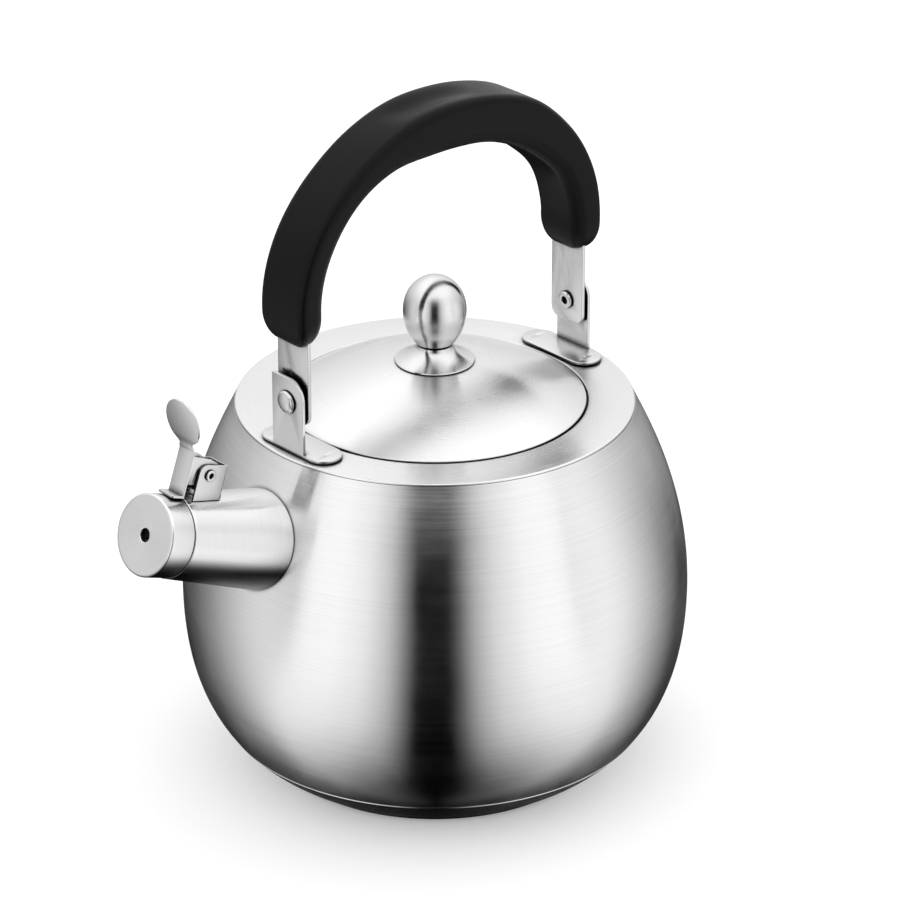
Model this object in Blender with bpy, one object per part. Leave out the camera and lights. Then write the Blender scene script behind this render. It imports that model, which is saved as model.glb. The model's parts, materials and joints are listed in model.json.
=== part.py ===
"""A stovetop whistling kettle: a round steel body with a swinging handle, a lift-off lid
and a spout whose whistle cap is flipped open by a sprung thumb lever.

Metres, +Z up. The origin is the centre of the flat base. The spout points along -X and the
handle stands in the XZ plane, swinging about the X axis of its two rivets.
"""

import math

import bmesh
import bpy
from mathutils import Vector
from mathutils.geometry import interpolate_bezier

# ---------------------------------------------------------------- driving dimensions
GAP = 0.0003                 # clearance kept between pieces that touch
ROUND_STEPS = 40             # sides of the large turned pieces
MIDDLE_STEPS = 24            # sides of the spout, the whistle and the knob
SMALL_STEPS = 16             # sides of the rivets, screws, washers and drilled holes

# Body
BODY_RADIUS = 0.0950         # at the widest line
BODY_WIDEST_Z = 0.0688
SHOULDER_Z = 0.1440          # also the top of the deck
DECK_WIDTH = 0.01755         # from the lid's edge to the shoulder
BASE_RADIUS = 0.0615         # edge of the flat base
BELLY_RISE = 0.0389          # how far the widest line's roundness reaches up
BELLY_FALL = 0.0580          # and down
SHOULDER_LEAN = 0.40         # inward slope of the wall where it meets the deck
SHOULDER_REACH = 0.0080
BASE_LEAN = 0.50             # outward slope of the wall where it leaves the base
BASE_REACH = 0.0034
BODY_WALL = 0.0010
FLOOR_ROUND = 0.0012         # how far in the floor starts from the wall
TUCK_HEIGHT = 0.0040         # over which the wall steps in behind the base cap's rim

# Base
CAP_WALL = 0.0008
CAP_RIM_Z = 0.0155
CORE_THICKNESS = 0.0034
CORE_MARGIN = 0.0007         # between the aluminium disc and the base cap

# Deck and mouth
DECK_WALL = 0.0008
LID_RADIUS = 0.0563
LEDGE_WIDTH = 0.0083
LEDGE_DEPTH = 0.0016         # the lid's seat below the deck
MOUTH_DEPTH = 0.0080         # height of the mouth's turned-down neck
SKIRT_DEPTH = 0.0050         # the deck's skirt inside the body

# Lid
LID_RISE = 0.0160
LID_LIP = 0.0001             # how far the dome's edge stands above the deck
LID_RIM = 0.0040             # width of the lid's flat rim on its ledge
RING_FLANGE = 0.0050
LID_WALL = 0.0008
RING_WALL = 0.0008
RING_DEPTH = 0.0080          # the locating ring below the lid's seat
RING_CLEARANCE = 0.0010      # between the ring and the mouth
COLLAR_RADIUS = 0.0148
COLLAR_HEIGHT = 0.0062       # from the top of the lid to the knob's neck
NECK_RADIUS = 0.0063
KNOB_RADIUS = 0.0117
KNOB_WIDEST_RISE = 0.0132    # from the neck to the widest line
KNOB_HEIGHT = 0.0265
SCREW_RADIUS = 0.0019
SCREW_CLEARANCE = 0.0004
SCREW_HEAD_RADIUS = 0.0038
SCREW_HEAD_HEIGHT = 0.0024
SCREW_REACH = 0.0110         # length of thread inside the knob
WASHER_RADIUS = 0.0055
WASHER_WALL = 0.0008

# Spout
SPOUT_RISE_DEG = 20.0
SPOUT_DROP = 0.0290          # from the shoulder down to where the spout's axis meets the wall
SPOUT_SINK = -0.0018         # how far in from the wall the axis starts
SPOUT_LENGTH = 0.0410        # from the root to the shoulder behind the whistle cap
SPOUT_ROOT_RADIUS = 0.0184
SPOUT_TIP_RADIUS = 0.0153
SPOUT_WALL = 0.0010
SPOUT_INSIDE = 0.0140        # tube that is cut to the wall's curve
SPIGOT_STEP = 0.0026         # how much the tip is reduced under the cap
SPIGOT_LENGTH = 0.0050
WALL_HOLE_MARGIN = 0.0034    # between the wall's hole and the outside of the spout's root

# Whistle
WHISTLE_STEP = 0.0003        # how much the cap is slimmer than the spout's tip
WHISTLE_LENGTH = 0.0103
WHISTLE_WALL = 0.0008
WHISTLE_HOLE_RADIUS = 0.0025
WHISTLE_EDGE = 0.0010        # rounding of the cap's front edge
CHAMBER_WALL = 0.0007
CHAMBER_DEPTH = 0.0034

# Whistle hinge, in the spout's own directions
PIN_SETBACK = 0.0080         # from the pin forwards to the end of the spout's taper
PIN_RISE = 0.0094            # above the spout's outside
PIN_RADIUS = 0.0012
PIN_CLEARANCE = 0.0003
PIN_HEAD_RADIUS = 0.0021
PIN_HEAD_HEIGHT = 0.0007
EAR_SETBACK = 0.0030         # from the ears forwards to the end of the taper
EAR_LENGTH = 0.0130
EAR_RISE = 0.0038            # above the pin
EAR_ROUND = 0.0035
EAR_CHAMFER = 0.0028
EAR_WALL = 0.0008
FLANGE_WALL = 0.0008
STEM_WIDTH = 0.0083
LEVER_WALL = 0.0009
STEM_RISE = 0.0069           # of the stem's bend above the pin
FLANGE_REACH = 0.0057        # how far the folded flanges reach behind the pin
FLANGE_DROP = 0.0042         # and below it
FOOT_LENGTH = 0.0058         # of the lever's foot on the whistle cap
PADDLE_LENGTH = 0.0216
PADDLE_WIDTH = 0.0172
PADDLE_LEAN_DEG = 31.0
PADDLE_BEND = 0.0020         # height over which the stem bends into the paddle
PADDLE_WIDEST = 0.58         # share of the paddle's length where it is widest
PADDLE_OVAL = 0.435          # share of its length from there to its tip
SPRING_WIRE = 0.00030        # radius
SPRING_COIL = 0.0021         # radius of the coil's middle line
SPRING_TURNS = 4
SPRING_WIDTH = 0.0048

# Handle
HANDLE_RISE = 0.0200         # of the rivets above the deck
BRACKET_INSET = 0.00305      # of the leg's outside from the shoulder
BRACKET_WALL = 0.0013
BRACKET_WIDTH = 0.0168
BRACKET_RISE = 0.0094        # of the leg above the rivet
BRACKET_ROUND = 0.0075
BRACKET_FOOT_LENGTH = 0.0374
BRACKET_FOOT_DEPTH = 0.0133
BRACKET_FOOT_WALL = 0.0012
STRAP_WIDTH = 0.0168
STRAP_WALL = 0.0015
STRAP_DROP = 0.0087          # of the strap below the rivet
STRAP_RISE = 0.0420          # and above it
STRAP_ROUND = 0.0045
STRAP_TOP_ROUND = 0.0020
WASHER_GAP = 0.0010          # thickness of the friction washer
FRICTION_WASHER_RADIUS = 0.0060
RIVET_RADIUS = 0.0021
RIVET_CLEARANCE = 0.0004
RIVET_HEAD_RADIUS = 0.0043
RIVET_HEAD_HEIGHT = 0.0018
RIVET_ROLL_RADIUS = 0.0033
RIVET_ROLL_HEIGHT = 0.0011
RIVET_HOLLOW = 0.0012

# Grip: an arch of stations measured round the middle of its curve
GRIP_CENTRE_RISE = 0.0360    # of the arch's middle above the rivets
GRIP_END_RISE = 0.0225       # of the grip's ends above the rivets
GRIP_COVER = 0.0056          # from the straps out to the arch
GRIP_RISE = 0.0625           # of the arch above its middle
GRIP_WIDTH = 0.0240
GRIP_INNER_WIDTH = 0.0190
GRIP_CORNER = 0.0026
GRIP_INNER_CORNER = 0.0046
GRIP_END_ROUND = 0.0040
SOCKET_CLEARANCE = 0.0003
# angle round the arch (180 is the spout side), outward swell, thickness
GRIP_STATIONS = (
    (180.0, 0.0000, 0.0121),
    (155.0, -0.0007, 0.0116),
    (132.0, -0.0010, 0.0114),
    (116.0, -0.0003, 0.0138),
    (100.0, 0.0004, 0.0178),
    (86.0, 0.0004, 0.0186),
    (72.0, 0.0010, 0.0186),
    (58.0, 0.0018, 0.0190),
    (42.0, 0.0008, 0.0172),
    (24.0, 0.0002, 0.0144),
    (8.0, 0.0000, 0.0134),
    (0.0, 0.0000, 0.0128),
)
GRIP_RINGS = 26
GRIP_SECTION_STEPS = 4

# ---------------------------------------------------------------- derived dimensions
SHOULDER_RADIUS = LID_RADIUS + DECK_WIDTH
MOUTH_RADIUS = LID_RADIUS - LEDGE_WIDTH
CORE_Z = CAP_WALL + GAP
SHELL_Z = CORE_Z + CORE_THICKNESS + GAP
LEDGE_Z = SHOULDER_Z - LEDGE_DEPTH
SHELL_TOP_Z = SHOULDER_Z - DECK_WALL - GAP
LID_SEAT_Z = LEDGE_Z + GAP
LID_EDGE_Z = SHOULDER_Z + LID_LIP
LID_ARC = (LID_RADIUS ** 2 + LID_RISE ** 2) / (2 * LID_RISE)
RING_RADIUS = MOUTH_RADIUS - RING_CLEARANCE
KNOB_Z = LID_EDGE_Z + LID_RISE + COLLAR_HEIGHT
SPOUT_TURN = (0.0, -math.radians(SPOUT_RISE_DEG), math.pi)
SPOUT_FALL = (SPOUT_ROOT_RADIUS - SPOUT_TIP_RADIUS) / SPOUT_LENGTH
SPIGOT_RADIUS = SPOUT_TIP_RADIUS - SPIGOT_STEP
WALL_HOLE_RADIUS = SPOUT_ROOT_RADIUS - WALL_HOLE_MARGIN
WHISTLE_RADIUS = SPOUT_TIP_RADIUS - WHISTLE_STEP
WHISTLE_BACK = SPOUT_LENGTH + GAP
WHISTLE_FRONT = WHISTLE_BACK + WHISTLE_LENGTH
CHAMBER_BACK = SPOUT_LENGTH + SPIGOT_LENGTH + GAP
CHAMBER_RADIUS = WHISTLE_RADIUS - WHISTLE_WALL - GAP
PIN_ALONG = SPOUT_LENGTH - PIN_SETBACK
PIN_HEIGHT = SPOUT_TIP_RADIUS + PIN_RISE
STEM_TOP = PIN_HEIGHT + STEM_RISE
EAR_END = SPOUT_LENGTH - EAR_SETBACK
EAR_START = EAR_END - EAR_LENGTH
EAR_TOP = PIN_HEIGHT + EAR_RISE
EAR_INNER = STEM_WIDTH / 2 + GAP
EAR_OUTER = EAR_INNER + EAR_WALL
LEVER_BOTTOM = WHISTLE_RADIUS + GAP
HANDLE_AXIS_Z = SHOULDER_Z + HANDLE_RISE
BRACKET_OUTER_X = SHOULDER_RADIUS - BRACKET_INSET
BRACKET_INNER_X = BRACKET_OUTER_X - BRACKET_WALL
STRAP_OUTER_X = BRACKET_INNER_X - WASHER_GAP - 2 * GAP
STRAP_INNER_X = STRAP_OUTER_X - STRAP_WALL
FOOT_Z = SHOULDER_Z + GAP
GRIP_HALF_SPAN = STRAP_OUTER_X + GRIP_COVER


# ---------------------------------------------------------------- helpers
def clear_scene():
    for old in list(bpy.data.objects):
        bpy.data.objects.remove(old, do_unlink=True)


def finish(name, colour, roughness, metallic):
    """A Principled material in one colour."""
    look = bpy.data.materials.new(name)
    look.use_nodes = True
    shader = look.node_tree.nodes["Principled BSDF"]
    shader.inputs["Base Color"].default_value = (*colour, 1.0)
    shader.inputs["Roughness"].default_value = roughness
    shader.inputs["Metallic"].default_value = metallic
    look.diffuse_color = (*colour, 1.0)
    return look


def empty(name, place, turn=(0.0, 0.0, 0.0)):
    """A parent for pieces that share an axis."""
    holder = bpy.data.objects.new(name, None)
    holder.location = place
    holder.rotation_euler = turn
    bpy.context.scene.collection.objects.link(holder)
    return holder


def piece(name, shape, look, holder=None, place=(0.0, 0.0, 0.0), turn=(0.0, 0.0, 0.0)):
    """Makes the object of a finished bmesh, closed and facing out."""
    bmesh.ops.remove_doubles(shape, verts=shape.verts, dist=1e-6)
    bmesh.ops.recalc_face_normals(shape, faces=shape.faces)
    mesh = bpy.data.meshes.new(name)
    shape.to_mesh(mesh)
    shape.free()
    mesh.shade_smooth()
    mesh.set_sharp_from_angle(angle=math.radians(35))
    mesh.materials.append(look)
    made = bpy.data.objects.new(name, mesh)
    made.parent = holder
    made.location = place
    made.rotation_euler = turn
    bpy.context.scene.collection.objects.link(made)
    return made


def hide_tool(tool):
    tool.hide_render = True
    tool.display_type = "WIRE"


def boolean(target, tool, operation):
    """Joins, cuts or trims the target with a hidden tool object."""
    change = target.modifiers.new(tool.name, "BOOLEAN")
    change.object = tool
    change.operation = operation
    change.solver = "EXACT"
    hide_tool(tool)


def spun(outline, steps):
    """A closed outline of (radius, height) points, spun about Z."""
    shape = bmesh.new()
    points = [shape.verts.new((radius, 0.0, height)) for radius, height in outline]
    on_axis = outline[0][0] == 0.0 and outline[-1][0] == 0.0
    pairs = list(zip(points, points[1:]))
    if not on_axis:
        pairs.append((points[-1], points[0]))
    edges = [shape.edges.new(pair) for pair in pairs]
    bmesh.ops.spin(
        shape, geom=points + edges, axis=(0, 0, 1), cent=(0, 0, 0), dvec=(0, 0, 0),
        angle=2 * math.pi, steps=steps, use_merge=True,
    )
    bmesh.ops.remove_doubles(shape, verts=shape.verts, dist=1e-6)
    return shape


def pressed(loops, thickness):
    """Flat sheet: the first loop is its edge and the others are holes. It rises along Z."""
    shape = bmesh.new()
    edges = []
    for loop in loops:
        points = [shape.verts.new((x, y, 0.0)) for x, y in loop]
        edges += [shape.edges.new(pair) for pair in zip(points, points[1:] + points[:1])]
    bmesh.ops.triangle_fill(shape, use_beauty=True, edges=edges)
    raised = bmesh.ops.extrude_face_region(shape, geom=shape.faces[:], use_keep_orig=True)
    moved = [item for item in raised["geom"] if isinstance(item, bmesh.types.BMVert)]
    bmesh.ops.translate(shape, verts=moved, vec=(0.0, 0.0, thickness))
    return shape


def lofted(rings):
    """Rings of equal length, joined in order and closed at both ends."""
    shape = bmesh.new()
    made = [[shape.verts.new(point) for point in ring] for ring in rings]
    for lower, upper in zip(made, made[1:]):
        for index, point in enumerate(lower):
            after = (index + 1) % len(lower)
            shape.faces.new((point, lower[after], upper[after], upper[index]))
    ends = [shape.faces.new(made[0]), shape.faces.new(made[-1])]
    bmesh.ops.triangulate(shape, faces=ends)
    return shape


def arc(centre, radius, first_deg, last_deg, steps):
    """Points on a round corner."""
    found = []
    for step in range(steps + 1):
        angle = math.radians(first_deg + (last_deg - first_deg) * step / steps)
        found.append((centre[0] + radius * math.cos(angle), centre[1] + radius * math.sin(angle)))
    return found


def circle(centre, radius, steps=SMALL_STEPS):
    return arc(centre, radius, 0.0, 360.0 * (steps - 1) / steps, steps - 1)


def between(table, key):
    """Smooth values between the rows of a table, read as a curve through its first column."""
    rows = sorted(table)
    place = max(index for index, row in enumerate(rows[:-1]) if row[0] <= key)
    before, low, high, after = (rows[min(max(place + step, 0), len(rows) - 1)] for step in (-1, 0, 1, 2))
    span = high[0] - low[0]
    share = (key - low[0]) / span
    found = []
    for column in range(1, len(low)):
        leave = (high[column] - before[column]) / (high[0] - before[0]) * span
        arrive = (after[column] - low[column]) / (after[0] - low[0]) * span
        rise = high[column] - low[column]
        bend = share * (1.0 - share) * ((leave - rise) * (1.0 - share) - (arrive - rise) * share)
        found.append(low[column] + rise * share + bend)
    return found


# ---------------------------------------------------------------- body outline
def belly_points():
    """The outer wall, base to shoulder, as two smooth curves that meet at the widest line."""
    base = Vector((BASE_RADIUS, 0.0))
    widest = Vector((BODY_RADIUS, BODY_WIDEST_Z))
    shoulder = Vector((SHOULDER_RADIUS, SHOULDER_Z))
    leave_base = base + BASE_REACH * Vector((BASE_LEAN, 1.0))
    reach_shoulder = shoulder + SHOULDER_REACH * Vector((SHOULDER_LEAN, -1.0))
    lower = interpolate_bezier(base, leave_base, widest - Vector((0.0, BELLY_FALL)), widest, 80)
    upper = interpolate_bezier(widest, widest + Vector((0.0, BELLY_RISE)), reach_shoulder, shoulder, 80)
    return lower + upper[1:]


BELLY = belly_points()


def belly_at(height):
    """Radius and inward normal of the outer wall at a height."""
    for low, high in zip(BELLY, BELLY[1:]):
        if height <= high.y:
            break
    share = (height - low.y) / (high.y - low.y)
    along = (high - low).normalized()
    return low.x + (high.x - low.x) * share, Vector((-along.y, along.x))


def wall_point(height, inset):
    """The wall's point at a height, moved inwards by the inset."""
    radius, inward = belly_at(height)
    return radius + inward.x * inset, height + inward.y * inset


def wall(low, high, steps, inset):
    """Points up the wall between two heights, moved inwards by the inset."""
    return [wall_point(low + (high - low) * step / steps, inset) for step in range(steps + 1)]


def covered_wall(inset):
    """The stretch of wall where the body stands inside the base cap. Both use its heights."""
    return wall(SHELL_Z, CAP_RIM_Z, 3, inset)


def spout_root():
    """Where the spout's axis starts, just outside the wall."""
    height = SHOULDER_Z - SPOUT_DROP
    return -(belly_at(height)[0] - SPOUT_SINK), 0.0, height


# ---------------------------------------------------------------- body and base
def body_shell(look, spout):
    """The spun wall, with its floor, and the hole that feeds the spout."""
    tuck = CAP_WALL + GAP
    step_z = CAP_RIM_Z + GAP
    outer = covered_wall(tuck) + [wall_point(step_z, tuck)] + wall(step_z, SHELL_TOP_Z, 11, 0.0)
    inner = wall(SHELL_Z, step_z - TUCK_HEIGHT, 2, tuck + BODY_WALL)
    inner += wall(step_z + TUCK_HEIGHT, SHELL_TOP_Z, 9, BODY_WALL)
    inner[-1] = (inner[-1][0], SHELL_TOP_Z)
    floor_top = SHELL_Z + BODY_WALL
    lift = outer[0][1] - SHELL_Z
    floor_edge = (wall_point(SHELL_Z - lift, tuck)[0], SHELL_Z)
    floor_corner = (inner[0][0] - FLOOR_ROUND, floor_top)
    outline = [(0.0, SHELL_Z), floor_edge] + outer + inner[::-1] + [floor_corner, (0.0, floor_top)]
    shell = piece("body_shell", spun(outline, ROUND_STEPS), look)
    reach = WALL_HOLE_RADIUS
    hole = spun([(0.0, -2 * reach), (reach, -2 * reach), (reach, reach), (0.0, reach)], MIDDLE_STEPS)
    drill = piece("spout_drill", hole, look, spout, turn=(0.0, math.pi / 2, 0.0))
    boolean(shell, drill, "DIFFERENCE")
    return shell


def body_envelope(look):
    """The body's outside with its clearance, which cuts whatever is seated on the wall."""
    outline = [(0.0, 0.03)] + wall(0.03, SHOULDER_Z, 12, -GAP) + [(0.0, SHOULDER_Z + GAP)]
    envelope = piece("body_envelope", spun(outline, ROUND_STEPS), look)
    hide_tool(envelope)
    return envelope


def base_cap(look):
    """The steel dish round the base, whose rim shows as a fine line low on the wall."""
    outer = wall(0.0, SHELL_Z, 2, 0.0) + covered_wall(0.0)[1:]
    corner = (wall_point(CAP_WALL, CAP_WALL)[0], CAP_WALL)
    inner = wall(CAP_WALL, SHELL_Z, 2, CAP_WALL)[1:] + covered_wall(CAP_WALL)[1:]
    inner[-1] = (inner[-1][0], CAP_RIM_Z)
    outline = [(0.0, 0.0)] + outer + inner[::-1] + [corner, (0.0, CAP_WALL)]
    return piece("base_cap", spun(outline, ROUND_STEPS), look)


def base_core_disc(look):
    """The aluminium disc that spreads the heat."""
    radius = wall_point(CAP_WALL, CAP_WALL)[0] - CORE_MARGIN
    top = CORE_Z + CORE_THICKNESS
    edge = 0.0006
    outline = [
        (0.0, CORE_Z), (radius - edge, CORE_Z), (radius, CORE_Z + edge),
        (radius, top - edge), (radius - edge, top), (0.0, top),
    ]
    return piece("base_core_disc", spun(outline, ROUND_STEPS), look)


def top_deck(look):
    """The flat deck, with the lid's ledge, the mouth's neck and a skirt inside the body."""
    under = SHOULDER_Z - DECK_WALL
    seat_radius = LID_RADIUS + GAP
    skirt = belly_at(SHELL_TOP_Z)[0] - BODY_WALL - 2 * GAP
    outline = [
        (seat_radius, SHOULDER_Z),
        (SHOULDER_RADIUS - 0.0003, SHOULDER_Z),
        (SHOULDER_RADIUS, SHOULDER_Z - 0.0003),
        (SHOULDER_RADIUS + 0.0002, under),
        (skirt, under),
        (skirt, SHOULDER_Z - SKIRT_DEPTH),
        (skirt - DECK_WALL, SHOULDER_Z - SKIRT_DEPTH),
        (skirt - DECK_WALL, under),
        (seat_radius + DECK_WALL, under),
        (seat_radius + DECK_WALL, LEDGE_Z - DECK_WALL),
        (MOUTH_RADIUS + DECK_WALL, LEDGE_Z - DECK_WALL),
        (MOUTH_RADIUS + DECK_WALL, SHOULDER_Z - MOUTH_DEPTH),
        (MOUTH_RADIUS, SHOULDER_Z - MOUTH_DEPTH),
        (MOUTH_RADIUS, LEDGE_Z),
        (seat_radius, LEDGE_Z),
    ]
    return piece("top_deck", spun(outline, ROUND_STEPS), look)


# ---------------------------------------------------------------- lid
def dome_height(radius, inset=0.0):
    """Height of the lid's outside, or of a surface a little under it."""
    centre = LID_EDGE_Z + LID_RISE - LID_ARC
    return centre + math.sqrt((LID_ARC - inset) ** 2 - radius ** 2)


def lid_dome(look):
    """The domed lid, drilled for the knob's screw."""
    hole = SCREW_RADIUS + SCREW_CLEARANCE
    radii = [hole + (LID_RADIUS - hole) * step / 6 for step in range(7)]
    top = [(radius, dome_height(radius)) for radius in radii]
    inside = [hole + (LID_RADIUS - LID_RIM - hole) * step / 5 for step in range(6)]
    under = [(radius, dome_height(radius, LID_WALL)) for radius in inside]
    outline = under[::-1] + top + [(LID_RADIUS, LID_SEAT_Z), (LID_RADIUS - LID_RIM, LID_SEAT_Z)]
    return piece("lid_dome", spun(outline, ROUND_STEPS), look)


def lid_locating_ring(look):
    """The ring under the lid that drops into the mouth, flanged to the dome."""
    inner = RING_RADIUS - RING_WALL
    foot = SHOULDER_Z - RING_DEPTH
    top = dome_height(RING_RADIUS, LID_WALL + GAP)
    tip = dome_height(inner - RING_FLANGE, LID_WALL + GAP)
    outline = [
        (RING_RADIUS, foot), (RING_RADIUS, top), (inner - RING_FLANGE, tip),
        (inner - RING_FLANGE, tip - RING_WALL), (inner, top - RING_WALL), (inner, foot),
    ]
    return piece("lid_locating_ring", spun(outline, ROUND_STEPS), look)


def knob_collar(look):
    """The trumpet-shaped collar between the lid and the knob."""
    hole = SCREW_RADIUS + SCREW_CLEARANCE
    top_z = KNOB_Z - GAP
    rim_z = dome_height(COLLAR_RADIUS) + GAP
    under = [(radius, dome_height(radius) + GAP) for radius in (hole, COLLAR_RADIUS * 0.5, COLLAR_RADIUS)]
    start = Vector((COLLAR_RADIUS, rim_z + 0.0005))
    neck = Vector((NECK_RADIUS, top_z))
    curve = interpolate_bezier(
        start, start + Vector((-0.0055, 0.0008)), neck - Vector((0.0, 0.0042)), neck, 6,
    )
    outline = under + [(point.x, point.y) for point in curve] + [(hole, top_z)]
    return piece("knob_collar", spun(outline, MIDDLE_STEPS), look)


def lid_knob(look):
    """The egg-shaped knob, with a blind hole for its screw."""
    widest = KNOB_Z + KNOB_WIDEST_RISE
    upper = KNOB_HEIGHT - KNOB_WIDEST_RISE
    neck_share = NECK_RADIUS / KNOB_RADIUS
    lower = KNOB_WIDEST_RISE / math.sqrt(1.0 - neck_share ** 2)
    start = -math.asin(KNOB_WIDEST_RISE / lower)
    outline = []
    for step in range(6):
        angle = start * (1.0 - step / 6)
        outline.append((KNOB_RADIUS * math.cos(angle), widest + lower * math.sin(angle)))
    for step in range(6):
        angle = math.pi / 2 * step / 6
        outline.append((KNOB_RADIUS * math.cos(angle), widest + upper * math.sin(angle)))
    outline.append((0.0, widest + upper))
    hole = SCREW_RADIUS + GAP
    depth = KNOB_Z + SCREW_REACH + GAP
    outline = [(0.0, depth), (hole, depth), (hole, KNOB_Z)] + outline
    return piece("lid_knob", spun(outline, MIDDLE_STEPS), look)


def knob_washer(look):
    """The washer between the lid's underside and the screw's head."""
    hole = SCREW_RADIUS + SCREW_CLEARANCE
    top = dome_height(WASHER_RADIUS, LID_WALL + GAP)
    outline = [(hole, top), (WASHER_RADIUS, top), (WASHER_RADIUS, top - WASHER_WALL), (hole, top - WASHER_WALL)]
    return piece("knob_washer", spun(outline, SMALL_STEPS), look)


def knob_screw(look):
    """The screw that holds the knob and its collar from inside the lid."""
    seat = dome_height(WASHER_RADIUS, LID_WALL + GAP) - WASHER_WALL - GAP
    head = seat - SCREW_HEAD_HEIGHT
    tip = KNOB_Z + SCREW_REACH
    outline = [
        (0.0, head), (SCREW_HEAD_RADIUS * 0.6, head), (SCREW_HEAD_RADIUS, head + 0.0010),
        (SCREW_HEAD_RADIUS, seat), (SCREW_RADIUS, seat), (SCREW_RADIUS, tip - 0.0006),
        (SCREW_RADIUS - 0.0006, tip), (0.0, tip),
    ]
    return piece("knob_screw", spun(outline, SMALL_STEPS), look)


# ---------------------------------------------------------------- spout and whistle
def along_spout(outline, steps):
    """Spins an outline of (radius, distance along the spout) points about the spout's X axis."""
    shape = spun(outline, steps)
    for point in shape.verts:
        point.co = (point.co.z, point.co.x, point.co.y)
    return shape


def spout_radius(distance):
    return SPOUT_ROOT_RADIUS - SPOUT_FALL * distance


def spout_tube(look, spout, envelope):
    """The tapered tube, cut to the wall's curve, with the reduced tip under the whistle cap."""
    inside = -SPOUT_INSIDE
    tip = SPOUT_LENGTH + SPIGOT_LENGTH
    lip = SPOUT_LENGTH - SPOUT_WALL
    outline = [
        (spout_radius(inside), inside), (SPOUT_TIP_RADIUS, SPOUT_LENGTH),
        (SPIGOT_RADIUS, SPOUT_LENGTH), (SPIGOT_RADIUS, tip - 0.0008), (SPIGOT_RADIUS - 0.0005, tip),
        (SPIGOT_RADIUS - SPOUT_WALL, tip), (SPIGOT_RADIUS - SPOUT_WALL, lip),
        (spout_radius(lip) - SPOUT_WALL, lip), (spout_radius(inside) - SPOUT_WALL, inside),
    ]
    tube = piece("spout_tube", along_spout(outline, MIDDLE_STEPS), look, spout)
    boolean(tube, envelope, "DIFFERENCE")
    return tube


def spout_envelope(look, spout):
    """The spout's outside with its clearance, which seats the hinge bracket."""
    outline = [
        (0.0, 0.0), (SPOUT_ROOT_RADIUS + GAP, 0.0),
        (SPOUT_TIP_RADIUS + GAP, SPOUT_LENGTH), (0.0, SPOUT_LENGTH),
    ]
    envelope = piece("spout_envelope", along_spout(outline, MIDDLE_STEPS), look, spout)
    hide_tool(envelope)
    return envelope


def upright(loops, thickness, middle):
    """Sheet in the spout's own XZ plane, centred on a distance across the spout."""
    shape = pressed(loops, thickness)
    for point in shape.verts:
        point.co = (point.co.x, middle + thickness / 2 - point.co.z, point.co.y)
    return shape


def block(low, high):
    """A box between two corners."""
    loop = [(low[0], low[1]), (high[0], low[1]), (high[0], high[1]), (low[0], high[1])]
    shape = pressed([loop], high[2] - low[2])
    bmesh.ops.translate(shape, verts=shape.verts, vec=(0.0, 0.0, low[2]))
    return shape


def spout_hinge_bracket(look, spout, seat):
    """The U-shaped bracket on the spout: a web at the back, a sole and two drilled ears."""
    low = SPOUT_TIP_RADIUS - 0.0020
    sole_top = spout_radius(EAR_START) + GAP + EAR_WALL
    bottom_front = (EAR_END, low)
    round_centre = (EAR_END - EAR_ROUND, EAR_TOP - EAR_ROUND)
    edge = [bottom_front] + arc(round_centre, EAR_ROUND, 0.0, 90.0, 5)
    edge += [(EAR_START, EAR_TOP), (EAR_START, low + 2 * EAR_CHAMFER), (EAR_START + EAR_CHAMFER, low)]
    hole = circle((PIN_ALONG, PIN_HEIGHT), PIN_RADIUS + PIN_CLEARANCE)
    web = block((EAR_START, -EAR_OUTER, low), (EAR_START + EAR_WALL, EAR_OUTER, EAR_TOP))
    bracket = piece("spout_hinge_bracket", web, look, spout)
    sole = block((EAR_START, -EAR_OUTER, low), (EAR_END - EAR_ROUND, EAR_OUTER, sole_top))
    boolean(bracket, piece("bracket_sole", sole, look, spout), "UNION")
    for side, name in ((-1, "bracket_ear_a"), (1, "bracket_ear_b")):
        middle = side * (EAR_INNER + EAR_WALL / 2)
        ear = piece(name, upright([edge, hole], EAR_WALL, middle), look, spout)
        boolean(bracket, ear, "UNION")
    boolean(bracket, seat, "DIFFERENCE")
    return bracket


def whistle_hinge_pin(look, hinge):
    """The hollow-ended pin through the bracket's ears."""
    shoulder = EAR_OUTER + GAP
    end = shoulder + PIN_HEAD_HEIGHT
    dimple = PIN_RADIUS * 0.6
    outline = [
        (0.0, -shoulder), (dimple, -shoulder), (dimple, -end), (PIN_HEAD_RADIUS * 0.8, -end),
        (PIN_HEAD_RADIUS, -end + 0.0003), (PIN_HEAD_RADIUS, -shoulder), (PIN_RADIUS, -shoulder),
        (PIN_RADIUS, shoulder), (PIN_HEAD_RADIUS, shoulder), (PIN_HEAD_RADIUS, end - 0.0003),
        (PIN_HEAD_RADIUS * 0.8, end), (dimple, end), (dimple, shoulder), (0.0, shoulder),
    ]
    return piece("whistle_hinge_pin", spun(outline, SMALL_STEPS), look, hinge, turn=(math.pi / 2, 0.0, 0.0))


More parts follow.
